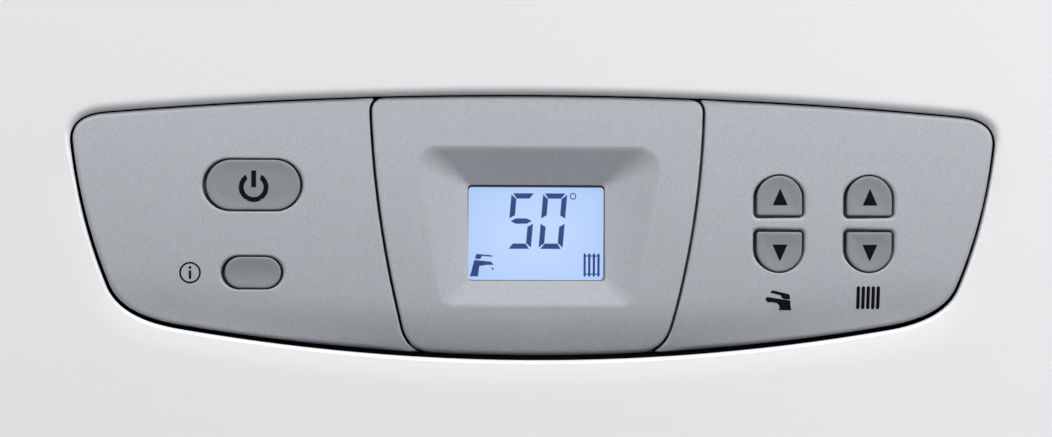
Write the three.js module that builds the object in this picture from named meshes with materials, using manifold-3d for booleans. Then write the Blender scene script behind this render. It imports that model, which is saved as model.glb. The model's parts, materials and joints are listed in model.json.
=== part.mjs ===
// A wall-hung condensing combi boiler: white bowed casing, hinged control panel, burner, fan and hydraulics.
// Millimetres, +Z up, the wall is the plane y = 0 and the front faces -Y.
import * as THREE from "three";
import { mergeVertices } from "three/addons/utils/BufferGeometryUtils.js";
import Module from "manifold-3d";

const wasm = await Module();
wasm.setup();

// Casing
const caseWidth = 440;
const caseHeight = 770;
const caseDepth = 340;
const coverReach = 50;
const sideDepth = caseDepth - coverReach;
const floorLevel = -caseHeight / 2;
const sheet = 1.5;
const flange = 12;
const bowRadius = 2500;
const coverCorner = 10;
const hookSlotWidth = 40;
const hookSlotHeight = 12;
const hookSlotSpread = 120;
const hookSlotDrop = 30;

// Planes behind the front that follow the casing's depth, as shares of it
const depthShares = {
  connection: 0.441176,
  exchangerBack: 0.294118,
  vessel: 0.223529,
  mixer: 0.164706,
  silencer: 0.247059,
};
const connectionDepth = depthShares.connection * caseDepth;

// Places and sizes across the casing that follow its width, as shares of it
const widthShares = {
  connectionPitch: 0.159091,
  trap: 0.409091,
  diverter: 0.1,
  exchanger: 0.090909,
  exchangerRadius: 0.227273,
  fan: 0.313636,
  scrollBase: 0.122727,
  scrollGrowth: 0.045455,
  fanOutlet: 0.15,
  silencer: 0.318182,
  silencerWidth: 0.227273,
  gasValve: 0.340909,
  vesselRadius: 0.375,
  vesselPipe: 0.431818,
  plateHalf: 0.215909,
};

// Clearances and small helpers shared by every piece
const seatGap = 0.3;
const runningGap = 0.8;
const overrun = 5;
const fineSteps = 10;
const cornerSteps = 1;
const drumSides = 24;
const coilSides = 16;
const vesselSides = 28;
const mediumSteps = 8;
const coarseSteps = 6;

// Control panel outline and moulding
const panelHalfWidth = 160;
const panelHeight = 89.7;
const panelRise = 100.7;
const panelBottomLevel = floorLevel + panelRise;
const panelGap = 1.5;
const panelEdgeRound = 3;
const panelSkin = 2.5;
const panelRim = 6;
const rimWall = 2;
const lipRound = 2;
const lipDepth = 4;
const topDrop = 6.5;
const lowRise = 10.2;

// Centre section of the panel, its display recess and the split lines
const centreLowHalf = 43.6;
const centreHighHalf = 57.5;
const centreBulge = 3;
const centreTopRound = 4;
const centreLowRound = 7;
const splitGap = 0.8;
const recessDepth = 9;
const recessTopHalf = 42;
const recessLowHalf = 34;
const recessTopLevel = 72;
const recessLowLevel = 17.5;
const recessTopRound = 4.8;
const recessLowRound = 2.4;
const recessWall = 2;
const windowHalf = 23.85;
const windowTopLevel = 59.1;
const windowLowLevel = 25.9;
const windowRound = 1.4;
const windowGlass = 1.5;
const windowMargin = 3.4;
const lcdThickness = 3.5;
const lcdTopMargin = 6;
const lcdBezel = 1;

// Buttons
const powerWidth = 32.2;
const powerHeight = 17.2;
const leftButtonsX = -98.1;
const powerLevel = 58.7;
const infoWidth = 19.2;
const infoHeight = 10.7;
const infoLevel = 28.6;
const dWidth = 15.8;
const dHeight = 13.8;
const dCorner = 0.9;
const hotWaterX = 84.1;
const heatingX = 115.8;
const upLevel = 55.8;
const downLevel = 36.3;
const buttonProud = 1;
const buttonRound = 1.1;
const buttonGap = 0.45;
const collarWidth = 1.1;
const collarThickness = 1;
const stemRadius = 2;
const buttonTravel = 1.2;
const switchSize = 3.4;
const switchHeight = 1.2;

// Control tray behind the panel, with its hinge
const hingeSetback = 5;
const hingeRise = 16.3;
const pinRadius = 1.5;
const eyeRadius = 3;
const lugInner = 36.5;
const lugThickness = 3;
const armThickness = 3;
const lugGap = 0.4;
const lugTopTurn = Math.PI * 0.795;
const lugLowTurn = Math.PI * 1.436;
const armReach = 19.5;
const armWidth = 6;
const armLean = 6.8;
const trayHalfWidth = 126;
const trayFront = 6.5;
const trayBack = 30;
const trayTop = 60;
const trayLow = 8;
const trayStepHalf = 33;
const trayStepLow = 4;
const trayWall = 2;
const tabSpread = 100;
const centreTabSpread = 30;
const tabHeight = 8;
const tabWidth = 12;
const tabThickness = 2.5;
const bossRadius = 3.5;
const boardThickness = 1.6;
const displayBoardSetback = 9.9;
const mainBoardSetback = 23;
const relayHeight = 9;
const lowRelayShare = 0.7;
const relayWidth = 24;
const relayPitch = 32;

// Hinge crossmember
const crossHeight = 24;
const crossDrop = 24;
const crossDepth = 14;

// Flue
const flueX = 0;
const flueDepth = connectionDepth;
const fluePipeRadius = 30;
const fluePipeWall = 1.5;
const collarRadius = 54;
const collarWall = 3;
const collarHeight = 48;
const collarFlangeRadius = 70;
const collarFlangeThickness = 3;
const flueRise = 44;

// Heat exchanger and burner
const exchangerX = -widthShares.exchanger * caseWidth;
const exchangerZ = 120;
const flangeReach = 5;
const exchangerRadius = widthShares.exchangerRadius * caseWidth;
const exchangerWall = 2;
const portInset = 5;
const condensatePortReach = 10;

// Sizes round the drum's axis as shares of its radius
const drumShares = {
  port: 0.6,
  dish: 0.6,
  lugReach: 0.7,
  lug: 0.5,
  coilInner: 0.6,
  hood: 0.42,
  burner: 0.35,
  burnerFlange: 0.45,
  electrode: 0.51,
};
const fanSetback = 40;
const doorSetback = 50;
const exchangerFront = caseDepth - fanSetback - doorSetback;
const exchangerBack = depthShares.exchangerBack * caseDepth;
const exchangerFlange = exchangerRadius + flangeReach;
const exchangerFlangeThickness = 4;
const exchangerDish = 12;
const portSpread = drumShares.port * exchangerRadius;
const portRadius = 13;
const portDrop = exchangerRadius - portInset;
const condensatePortRadius = 11;
const condensatePortDrop = exchangerRadius + condensatePortReach;
const condensateInset = 18;
const condensateDepth = exchangerFront - condensateInset;
const shellLugHeight = 24;
const shellLugDepth = 30;
const shellLugSpread = drumShares.lug * exchangerRadius;
const coilInner = drumShares.coilInner * exchangerRadius;
const coilMargin = 2.5;
const coilRibs = 6;
const coilRibGap = 5.5;
const coilCore = 6;
const coilWall = 1.5;
const coilFrontInset = 18.7;
const coilBackInset = 8.3;
const coilRibPitch = (exchangerFront - exchangerBack - coilFrontInset - coilBackInset) / coilRibs;
const coilRibWidth = coilRibPitch - coilRibGap;
const doorThickness = 12;
const doorRim = 5;
const doorStudRadius = 5;
const doorStudInset = 4;
const doorStudCircle = exchangerRadius - doorStudInset;
const doorStuds = 6;
const doorStudHeight = 6;
const hoodRadius = drumShares.hood * exchangerRadius;
const hoodDepth = 38;
const hoodFlangeThickness = 5;
const burnerRadius = drumShares.burner * exchangerRadius;
const burnerEndGap = 32;
const burnerLength = exchangerFront - exchangerBack - burnerEndGap;
const burnerFlange = drumShares.burnerFlange * exchangerRadius;
const electrodeCircle = drumShares.electrode * exchangerRadius;
const electrodeAngle = Math.PI * 1.25;
const ceramicRadius = 4.5;
const ceramicOut = 24;
const ceramicIn = 12;
const electrodeFlange = 7;
const electrodeRod = 1.2;
const electrodeReach = 48;

// Fan, mixer, silencer and gas valve
const fanX = widthShares.fan * caseWidth;
const fanZ = 150;
const fanFront = caseDepth - fanSetback;
const fanDepth = 48;
const fanWall = 3;
const scrollBase = widthShares.scrollBase * caseWidth;
const scrollGrowth = widthShares.scrollGrowth * caseWidth;
const scrollStart = Math.PI * 0.55;
const scrollEnd = Math.PI * 2.5;
const outletReach = widthShares.fanOutlet * caseWidth;
const outletHeight = 32;
const fanInletRadius = 26;
const impellerClearance = 7;
const impellerRadius = scrollBase - impellerClearance;
const impellerDepth = 24;
const impellerSetback = 8;
const impellerPlate = 2;
const impellerEye = 24;
const impellerBlades = 9;
const bladeThickness = 2;
const bladeSweep = 0.55;
const hubRadius = 9;
const shaftRadius = 3;
const motorFlangeLap = 4;
const motorFlangeRadius = scrollBase + motorFlangeLap;
const motorFlangeThickness = 2.7;
const motorRadius = 32;
const motorLength = 26;
const motorFins = 8;
const finDepth = 3;
const finWidth = 3;
const mixerRadius = 32;
const mixerLength = depthShares.mixer * caseDepth;
const mixerWaist = 19;
const mixerBore = 14;
const silencerWidth = widthShares.silencerWidth * caseWidth;
const silencerDepth = depthShares.silencer * caseDepth;
const silencerHeight = 190;
const silencerLow = 110;
const silencerWall = 3;
const silencerCorner = 14;
const silencerX = widthShares.silencer * caseWidth;
const gasValveX = widthShares.gasValve * caseWidth;
const gasValveOffset = 8.7;
const gasValveWidth = 60;
const gasValveLength = 60;
const gasValveHeight = 78;
const gasValveCorner = 5;
const gasSpoutRadius = 9;
const gasCoilRadius = 14;
const gasCoilHeight = 26;
const gasCoilSpread = 15;

// Hydraulics
const vesselX = 0;
const vesselZ = 150;
const vesselRadius = widthShares.vesselRadius * caseWidth;
const vesselDepth = depthShares.vessel * caseDepth;
const vesselWall = 1.5;
const vesselBore = 4;
const vesselRim = 3;
const vesselRimWidth = 8;
const vesselDish = 40;
const vesselPortRadius = 7;
const vesselPortLength = 6;
const vesselPipeRadius = 5;
const vesselPipeX = widthShares.vesselPipe * caseWidth;
const vesselPipeRise = 245;
const vesselPipeLevel = floorLevel + vesselPipeRise;
const connectionPitch = widthShares.connectionPitch * caseWidth;
const connectionStub = 10;
const manifoldRadius = 20;
const manifoldLowRadius = 11;
const manifoldRise = 130;
const manifoldTop = floorLevel + manifoldRise;
const flowManifoldRise = 150;
const flowManifoldTop = floorLevel + flowManifoldRise;
const branchRise = 117;
const branchLevel = floorLevel + branchRise;
const branchRadius = 11;
const plateHalfWidth = widthShares.plateHalf * caseWidth;
const plateDepth = 54;
const plateBack = 21;
const plateRise = 85;
const plateLow = floorLevel + plateRise;
const plateHeight = 75;
const plateCorner = 18;
const plateCount = 7;
const plateGroove = 2;
const plateFaceShare = 0.6;
const pumpRise = 180;
const pumpZ = floorLevel + pumpRise;
const pumpRadius = 45;
const pumpWall = 5;
const pumpDepth = 50;
const pumpBack = connectionDepth - pumpDepth / 2;
const pumpPortRadius = 14;
const pumpPortLength = 5;
const pumpMotorRadius = 42;
const pumpMotorLength = 62;
const pumpMotorCap = 30;
const pumpImpellerRadius = 30;
const pumpImpellerDepth = 18;
const pumpBlades = 6;
const pumpShaftRadius = 4;
const ventOffset = -28;
const ventRadius = 9;
const ventHeight = 44;
const ventCapRadius = 5;
const ventCapHeight = 6;
const heatingPipeRadius = 11;
const waterPipeRadius = 7.5;
const bendRadius = 18;
const smallBend = 15;
const crossingRise = 325;
const crossingLevel = floorLevel + crossingRise;
const tailBendRise = 50;
const tailBendLevel = floorLevel + tailBendRise;
const gasCrossLevel = -80;
const diverterWidth = widthShares.diverter * caseWidth;
const diverterHeight = 43;
const diverterLength = 70;
const diverterRise = 101;
const diverterLevel = floorLevel + diverterRise;
const diverterCorner = 6;
const trapX = -widthShares.trap * caseWidth;
const trapTop = -100;
const trapRise = 145;
const trapBottom = floorLevel + trapRise;
const trapRadius = 27;
const trapNeck = 11;
const trapNeckLength = 14;
const hoseRadius = 11;
const hoseFall = -25;
const hoseLow = -60;
const reliefRise = 65;
const reliefLevel = floorLevel + reliefRise;
const reliefRadius = 14;
const reliefLength = 54;
const reliefOutletShare = 0.65;
const reliefOutletSpread = 35;
const knobRadius = 15;
const knobLength = 16;
const knobFlutes = 8;
const knobFluteRadius = 3;
const knobStem = 3;

// Service valves under the casing
const valveNutRadius = 17;
const valveNutHeight = 14;
const valveBodyRadius = 13;
const valveBodyHeight = 24;
const valveBore = 8;
const valveBoreDepth = 20;
const valveBossRadius = 8;
const valveBossReach = 20;
const leverHubRadius = 9;
const leverHubThickness = 8;
const leverLength = 46;
const leverWidth = 12;
const leverThickness = 3;
const leverStem = 3;

// Outline points of the panel as shares of its half width and height
const outlineShares = {
  lowCornerEnd: [0.7625, 0.1137],
  lowCornerPoint: [0.893, 0.149],
  lowCornerStart: [0.92, 0.274],
  sidePull: [0.98, 0.53],
  topCornerEnd: [0.999, 0.817],
  topCornerPoint: [1.005, 0.915],
  topCornerStart: [0.928, 0.9275],
};

// Finishes
function finish(colour, roughness, metalness = 0) {
  return new THREE.MeshStandardMaterial({ color: colour, roughness, metalness });
}
const whitePaint = finish(0xe6e5e9, 0.35);
const greyMoulding = finish(0xa6a9ae, 0.55);
const buttonGrey = finish(0x8a8f92, 0.5);
const blackPlastic = finish(0x26272a, 0.6);
const backlight = finish(0xbcd8fc, 0.5);
const clearWindow = finish(0xd8e4ee, 0.05);
const boardGreen = finish(0x2c6b45, 0.6);
const zincSheet = finish(0xb6babd, 0.45, 0.8);
const stainless = finish(0xc4c6c8, 0.3, 0.9);
const castAlloy = finish(0xa4a7aa, 0.55, 0.8);
const copper = finish(0xb8734a, 0.35, 0.9);
const brass = finish(0xc2a25a, 0.4, 0.9);
const vesselPaint = finish(0x8f9499, 0.5, 0.2);
const castIron = finish(0x4a4d50, 0.7, 0.5);
const redPlastic = finish(0xa03228, 0.5);
const whitePlastic = finish(0xd9d9d4, 0.5);
const greyRubber = finish(0x4c4e50, 0.8);
const ceramicWhite = finish(0xe9e6dc, 0.4);

// Levels and planes that several pieces share
const halfWidth = caseWidth / 2;
const halfHeight = caseHeight / 2;
const innerHalf = halfWidth - sheet - seatGap;
const wallInner = -sheet - seatGap;
const hingeY = -caseDepth + hingeSetback;
const hingeZ = panelBottomLevel + hingeRise;
const forwardPlane = -caseDepth - 2 * overrun;
const stubLevel = -halfHeight - connectionStub;
const bowSteps = 16;
const outlineSteps = 7;
const bigSpan = caseWidth + caseDepth;

// Turns a closed three.js geometry into a solid that can be joined and cut
function solid(geometry) {
  const bare = geometry.clone();
  bare.deleteAttribute("normal");
  bare.deleteAttribute("uv");
  const merged = mergeVertices(bare);
  const place = merged.attributes.position;
  const corners = merged.index.array;
  const kept = [];
  let volume = 0;
  const [a, b, c] = [new THREE.Vector3(), new THREE.Vector3(), new THREE.Vector3()];
  for (let i = 0; i < corners.length; i += 3) {
    const [p, q, r] = [corners[i], corners[i + 1], corners[i + 2]];
    if (p === q || q === r || r === p) continue;
    kept.push(p, q, r);
    a.fromBufferAttribute(place, p);
    b.fromBufferAttribute(place, q);
    c.fromBufferAttribute(place, r);
    volume += a.dot(b.cross(c));
  }
  if (volume < 0) kept.reverse();
  const vertProperties = new Float32Array(place.array);
  const triVerts = new Uint32Array(kept);
  return new wasm.Manifold(new wasm.Mesh({ numProp: 3, vertProperties, triVerts }));
}

// Joins a list of solids
function join(...pieces) {
  return pieces.flat().reduce((whole, piece) => whole.add(piece));
}

// Cuts each tool out of a solid
function cut(body, ...tools) {
  return tools.flat().reduce((left, tool) => left.subtract(tool), body);
}

// Extrusions along each axis: outlines are drawn in (x, z), (y, z) or (x, y)
const axisX = new THREE.Vector3(1, 0, 0);
const axisY = new THREE.Vector3(0, 1, 0);
const axisZ = new THREE.Vector3(0, 0, 1);
function extruded(shape, depth, curveSegments) {
  return new THREE.ExtrudeGeometry(shape, { depth, bevelEnabled: false, curveSegments });
}
function alongY(shape, yLow, yHigh, segments = mediumSteps) {
  const geometry = extruded(shape, yHigh - yLow, segments);
  geometry.rotateX(Math.PI / 2);
  geometry.translate(0, yHigh, 0);
  return solid(geometry);
}
function alongX(shape, xLow, xHigh, segments = mediumSteps) {
  const geometry = extruded(shape, xHigh - xLow, segments);
  geometry.applyMatrix4(new THREE.Matrix4().makeBasis(axisY, axisZ, axisX));
  geometry.translate(xLow, 0, 0);
  return solid(geometry);
}
function alongZ(shape, zLow, zHigh, segments = mediumSteps) {
  const geometry = extruded(shape, zHigh - zLow, segments);
  geometry.translate(0, 0, zLow);
  return solid(geometry);
}

// Outlines
function polygon(points) {
  return new THREE.Shape(points.map(([u, v]) => new THREE.Vector2(u, v)));
}
function circle(u, v, radius) {
  return new THREE.Shape().absarc(u, v, radius, 0, 2 * Math.PI, false);
}
function roundedBox(uLow, uHigh, vLow, vHigh, corner) {
  const shape = new THREE.Shape();
  shape.absarc(uHigh - corner, vLow + corner, corner, -Math.PI / 2, 0, false);
  shape.absarc(uHigh - corner, vHigh - corner, corner, 0, Math.PI / 2, false);
  shape.absarc(uLow + corner, vHigh - corner, corner, Math.PI / 2, Math.PI, false);
  shape.absarc(uLow + corner, vLow + corner, corner, Math.PI, 1.5 * Math.PI, false);
  return shape;
}
function box(xLow, xHigh, yLow, yHigh, zLow, zHigh) {
  const geometry = new THREE.BoxGeometry(xHigh - xLow, yHigh - yLow, zHigh - zLow);
  geometry.translate((xLow + xHigh) / 2, (yLow + yHigh) / 2, (zLow + zHigh) / 2);
  return solid(geometry);
}

// Revolved pieces: profiles are lists of [radius, place along the axis]
function turned(profile, sides) {
  const points = profile.map(([radius, along]) => new THREE.Vector2(radius, along));
  return new THREE.LatheGeometry(points, sides);
}
function turnedY(profile, x, z, sides = 24) {
  const geometry = turned(profile, sides);
  geometry.translate(x, 0, z);
  return solid(geometry);
}
function turnedZ(profile, x, y, sides = 24) {
  const geometry = turned(profile, sides);
  geometry.rotateX(Math.PI / 2);
  geometry.translate(x, y, 0);
  return solid(geometry);
}
function rodY(x, z, radius, yLow, yHigh, segments = coarseSteps) {
  return alongY(circle(x, z, radius), yLow, yHigh, segments);
}
function rodZ(x, y, radius, zLow, zHigh, segments = coarseSteps) {
  return alongZ(circle(x, y, radius), zLow, zHigh, segments);
}
function rodX(y, z, radius, xLow, xHigh, segments = coarseSteps) {
  return alongX(circle(y, z, radius), xLow, xHigh, segments);
}
function hexZ(x, y, radius, zLow, zHigh) {
  return turnedZ([[0, zLow], [radius, zLow], [radius, zHigh], [0, zHigh]], x, y, 6);
}

// A pipe's centre line: straight legs between its corners, joined by round bends
class PipeLine extends THREE.Curve {
  constructor(corners, radius, bendSteps = 3) {
    super();
    const points = corners.map((corner) => new THREE.Vector3(...corner));
    this.stations = [];
    this.headings = [];
    for (let i = 0; i < points.length; i += 1) {
      const before = points[Math.max(i - 1, 0)];
      const here = points[i];
      const after = points[Math.min(i + 1, points.length - 1)];
      const incoming = here.clone().sub(before).normalize();
      const outgoing = after.clone().sub(here).normalize();
      if (i === 0 || i === points.length - 1) {
        this.add(here, i === 0 ? outgoing : incoming);
        continue;
      }
      const turn = incoming.angleTo(outgoing);
      const reach = radius * Math.tan(turn / 2);
      const inward = outgoing.clone().sub(incoming).normalize();
      const centre = here.clone().addScaledVector(inward, radius / Math.cos(turn / 2));
      const spin = new THREE.Vector3().crossVectors(incoming, outgoing).normalize();
      const start = here.clone().addScaledVector(incoming, -reach).sub(centre);
      for (let k = 0; k <= bendSteps; k += 1) {
        const angle = (turn * k) / bendSteps;
        const place = start.clone().applyAxisAngle(spin, angle).add(centre);
        this.add(place, incoming.clone().applyAxisAngle(spin, angle));
      }
    }
  }
  add(place, heading) {
    this.stations.push(place);
    this.headings.push(heading);
  }
  blend(list, t, target) {
    const at = t * (list.length - 1);
    const i = Math.min(Math.floor(at), list.length - 2);
    return target.lerpVectors(list[i], list[i + 1], at - i);
  }
  getPoint(t, target = new THREE.Vector3()) {
    return this.blend(this.stations, t, target);
  }
  getPointAt(u, target) {
    return this.getPoint(u, target);
  }
  getTangent(t, target = new THREE.Vector3()) {
    return this.blend(this.headings, t, target).normalize();
  }
  getTangentAt(u, target) {
    return this.getTangent(u, target);
  }
}
function pipe(corners, radius, bend, segments = 4) {
  const line = new PipeLine(corners, bend);
  const options = { steps: line.stations.length - 1, extrudePath: line, curveSegments: segments };
  return solid(new THREE.ExtrudeGeometry(circle(0, 0, radius), options));
}

// The bowed front: how far the casing's face falls back at x
function bowAt(x) {
  return bowRadius - Math.sqrt(bowRadius * bowRadius - x * x);
}
function faceY(x, depth) {
  return -caseDepth + bowAt(x) + depth;
}
function bowedSlab(frontDepth, backDepth, half, zLow, zHigh) {
  const front = [];
  const back = [];
  for (let i = 0; i <= bowSteps; i += 1) {
    const x = half * ((2 * i) / bowSteps - 1);
    front.push([x, faceY(x, frontDepth)]);
    back.unshift([x, faceY(x, backDepth)]);
  }
  return alongZ(polygon([...front, ...back]), zLow, zHigh);
}

// Rings of points joined into a closed solid, front ring first, each ring anticlockwise seen from the front
function loft(rings) {
  const count = rings[0].length;
  const positions = rings.flat().flatMap((point) => [point.x, point.y, point.z]);
  const index = [];
  for (let k = 0; k + 1 < rings.length; k += 1) {
    for (let i = 0; i < count; i += 1) {
      const [a, b] = [k * count + i, k * count + ((i + 1) % count)];
      index.push(a, a + count, b, b, a + count, b + count);
    }
  }
  const flat = (ring) => ring.map((point) => new THREE.Vector2(point.x, point.z));
  const last = (rings.length - 1) * count;
  for (const [p, q, r] of THREE.ShapeUtils.triangulateShape(flat(rings[0]), [])) {
    index.push(p, q, r);
  }
  for (const [p, q, r] of THREE.ShapeUtils.triangulateShape(flat(rings[rings.length - 1]), [])) {
    index.push(last + p, last + r, last + q);
  }
  const geometry = new THREE.BufferGeometry();
  geometry.setAttribute("position", new THREE.Float32BufferAttribute(positions, 3));
  geometry.setIndex(index);
  return solid(geometry);
}

// Moves a closed anticlockwise outline outwards by a distance
function grown(outline, distance) {
  const count = outline.length;
  return outline.map((point, i) => {
    const before = outline[(i + count - 1) % count];
    const after = outline[(i + 1) % count];
    const first = point.clone().sub(before).normalize();
    const second = after.clone().sub(point).normalize();
    const normal = new THREE.Vector2(first.y + second.y, -first.x - second.x).normalize();
    const spread = normal.x * first.y - normal.y * first.x;
    return point.clone().addScaledVector(normal, distance / spread);
  });
}

// Rings of a panel outline: on the bowed face, or on a flat plane
function bowedRing(outline, depth) {
  return outline.map((point) => new THREE.Vector3(point.x, faceY(point.x, depth), point.y));
}
function flatRing(outline, y) {
  return outline.map((point) => new THREE.Vector3(point.x, y, point.y));
}
function prism(outline, yLow, yHigh) {
  return loft([flatRing(outline, yLow), flatRing(outline, yHigh)]);
}

// A block whose front edge is rounded along the bowed face. A negative radius flares it outwards.
function roundedFront(outline, base, radius, yBack) {
  const reach = Math.abs(radius);
  const inset = (angle) => base - radius * (1 - Math.sin(angle));
  const depth = (angle) => reach * (1 - Math.cos(angle));
  const start = Math.PI / 6;
  const outer = base - radius * (1 - Math.sin(start)) * 2;
  return loft([
    flatRing(grown(outline, outer), forwardPlane),
    bowedRing(grown(outline, outer), -depth(start) * 2),
    bowedRing(grown(outline, inset(start)), depth(start)),
    bowedRing(grown(outline, inset(Math.PI / 3)), depth(Math.PI / 3)),
    bowedRing(grown(outline, base), reach),
    flatRing(grown(outline, base), yBack),
  ]);
}

// The panel's outline in the casing's frame
function panelPoint([widthShare, heightShare], side) {
  return [side * widthShare * panelHalfWidth, heightShare * panelHeight];
}
function closedOutline(path, steps) {
  const points = path.getPoints(steps);
  points.pop();
  return points.map((point) => new THREE.Vector2(point.x, point.y + panelBottomLevel));
}
function panelOutline() {
  const right = (name) => panelPoint(outlineShares[name], 1);
  const left = (name) => panelPoint(outlineShares[name], -1);
  const path = new THREE.Path();
  path.moveTo(...left("lowCornerEnd"));
  path.quadraticCurveTo(0, -lowRise, ...right("lowCornerEnd"));
  path.quadraticCurveTo(...right("lowCornerPoint"), ...right("lowCornerStart"));
  path.quadraticCurveTo(...right("sidePull"), ...right("topCornerEnd"));
  path.quadraticCurveTo(...right("topCornerPoint"), ...right("topCornerStart"));
  path.quadraticCurveTo(0, panelHeight + topDrop, ...left("topCornerStart"));
  path.quadraticCurveTo(...left("topCornerPoint"), ...left("topCornerEnd"));
  path.quadraticCurveTo(...left("sidePull"), ...left("lowCornerStart"));
  path.quadraticCurveTo(...left("lowCornerPoint"), ...left("lowCornerEnd"));
  return closedOutline(path, outlineSteps);
}
const panel = panelOutline();

// Height of the panel's long edges at x, and the centre section's half width at a height
function topEdge(x) {
  const reach = outlineShares.topCornerStart[0] * panelHalfWidth;
  return panelHeight - topDrop * (x / reach) ** 2;
}
function lowEdge(x) {
  const reach = outlineShares.lowCornerEnd[0] * panelHalfWidth;
  return lowRise * (x / reach) ** 2;
}
function centreHalf(level) {
  const t = level / panelHeight;
  return centreLowHalf + (centreHighHalf - centreLowHalf) * t + 4 * centreBulge * t * (1 - t);
}
function sidePull(lowLevel, highLevel) {
  const middle = (lowLevel + highLevel) / 2;
  const chord = (centreHalf(lowLevel) + centreHalf(highLevel)) / 2;
  return [2 * centreHalf(middle) - chord, middle];
}

// Outline of the centre section, with its rounded corners
function centreOutline() {
  const lowCorner = [centreHalf(0), lowEdge(centreLowHalf)];
  const topCorner = [centreHighHalf, topEdge(centreHighHalf)];
  const lowStart = lowCorner[0] - centreLowRound;
  const topStart = topCorner[0] - centreTopRound;
  const sideLow = lowCorner[1] + centreLowRound;
  const sideTop = topCorner[1] - centreTopRound;
  const pull = sidePull(sideLow, sideTop);
  const path = new THREE.Path();
  path.moveTo(-lowStart, lowEdge(lowStart));
  path.quadraticCurveTo(0, -lowEdge(lowStart), lowStart, lowEdge(lowStart));
  path.quadraticCurveTo(...lowCorner, centreHalf(sideLow), sideLow);
  path.quadraticCurveTo(...pull, centreHalf(sideTop), sideTop);
  path.quadraticCurveTo(...topCorner, topStart, topEdge(topStart));
  path.quadraticCurveTo(0, 2 * panelHeight - topEdge(topStart), -topStart, topEdge(topStart));
  path.quadraticCurveTo(-topCorner[0], topCorner[1], -centreHalf(sideTop), sideTop);
  path.quadraticCurveTo(-pull[0], pull[1], -centreHalf(sideLow), sideLow);
  path.quadraticCurveTo(-lowCorner[0], lowCorner[1], -lowStart, lowEdge(lowStart));
  return closedOutline(path, coarseSteps);
}

// The column between the two split lines, running past the panel above and below
function splitColumn(extra) {
  const rightSide = [];
  const leftSide = [];
  for (let i = 0; i <= coarseSteps; i += 1) {
    const level = -overrun + ((panelHeight + 2 * overrun) * i) / coarseSteps;
    const half = centreHalf(level) + extra;
    rightSide.push(new THREE.Vector2(half, level + panelBottomLevel));
    leftSide.unshift(new THREE.Vector2(-half, level + panelBottomLevel));
  }
  return prism([...rightSide, ...leftSide], forwardPlane, -sideDepth);
}

// A trapezoid with rounded corners about x = 0, for the recess and the window
function softTrapezoid(lowHalf, topHalf, lowLevel, topLevel, lowRound, topRound, steps = 4) {
  const corners = [
    [lowHalf, lowLevel, lowRound, -Math.PI / 2],
    [topHalf, topLevel, topRound, 0],
    [-topHalf, topLevel, topRound, Math.PI / 2],
    [-lowHalf, lowLevel, lowRound, Math.PI],
  ];
  return corners.flatMap(([x, z, radius, start]) => {
    const centreX = x - Math.sign(x) * radius;
    const centreZ = z === lowLevel ? z + radius : z - radius;
    return Array.from({ length: steps + 1 }, (unused, k) => {
      const angle = start + ((Math.PI / 2) * k) / steps;
      const level = centreZ + radius * Math.sin(angle) + panelBottomLevel;
      return new THREE.Vector2(centreX + radius * Math.cos(angle), level);
    });
  });
}

// Button outlines: a stadium, and a D with its round side up or down
function stadium(x, level, width, height, steps = 5) {
  const radius = height / 2;
  const reach = width / 2 - radius;
  const points = [];
  for (const [side, start] of [[1, -Math.PI / 2], [-1, Math.PI / 2]]) {
    for (let k = 0; k <= steps; k += 1) {
      const angle = start + (Math.PI * k) / steps;
      const z = level + panelBottomLevel + radius * Math.sin(angle);
      points.push(new THREE.Vector2(x + side * reach + radius * Math.cos(angle), z));
    }
  }
  return points;
}
function dShape(x, level, up, steps = 7) {
  const radius = dWidth / 2;
  const flat = -dHeight / 2;
  const centre = dHeight / 2 - radius;
  const points = [[-radius, flat + dCorner], [-radius + dCorner, flat], [radius - dCorner, flat]];
  points.push([radius, flat + dCorner]);
  for (let k = 0; k <= steps; k += 1) {
    const angle = (Math.PI * k) / steps;
    points.push([radius * Math.cos(angle), centre + radius * Math.sin(angle)]);
  }
  const side = up ? 1 : -1;
  const placed = points.map(([u, v]) => new THREE.Vector2(x + side * u, side * v + level + panelBottomLevel));
  return placed;
}
const buttons = {
  power_button: { x: leftButtonsX, level: powerLevel },
  info_button: { x: leftButtonsX, level: infoLevel },
  hot_water_up_button: { x: hotWaterX, level: upLevel },
  hot_water_down_button: { x: hotWaterX, level: downLevel },
  heating_up_button: { x: heatingX, level: upLevel },
  heating_down_button: { x: heatingX, level: downLevel },
};
buttons.power_button.outline = stadium(leftButtonsX, powerLevel, powerWidth, powerHeight);
buttons.info_button.outline = stadium(leftButtonsX, infoLevel, infoWidth, infoHeight);
for (const [name, button] of Object.entries(buttons)) {
  if (!button.outline) button.outline = dShape(button.x, button.level, name.includes("up"));
}

// The object that every named piece is added to
const boiler = new THREE.Group();
function piece(name, body, material) {
  const mesh = body.getMesh();
  const geometry = new THREE.BufferGeometry();
  geometry.setAttribute("position", new THREE.Float32BufferAttribute(mesh.vertProperties, 3));
  geometry.setIndex(new THREE.Uint32BufferAttribute(mesh.triVerts, 1));
  geometry.computeVertexNormals();
  const made = new THREE.Mesh(geometry, material);
  made.name = name;
  boiler.add(made);
}

// Where each pipe leaves the casing, from left to right
const flowX = -2 * connectionPitch;
const hotWaterPipeX = -connectionPitch;
const gasX = 0;
const coldWaterX = connectionPitch;
const returnX = 2 * connectionPitch;

// Back plate with two hook slots for the wall bracket
function backPlate() {
  const level = halfHeight - sheet - seatGap;
  const plate = box(-innerHalf, innerHalf, -sheet, 0, -level, level);
  const slots = [-1, 1].map((side) => {
    const middle = side * hookSlotSpread;
    const [left, right] = [middle - hookSlotWidth / 2, middle + hookSlotWidth / 2];
    const top = level - hookSlotDrop;
    return box(left, right, -sheet - overrun, overrun, top - hookSlotHeight, top);
  });
  return cut(plate, slots);
}

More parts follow.
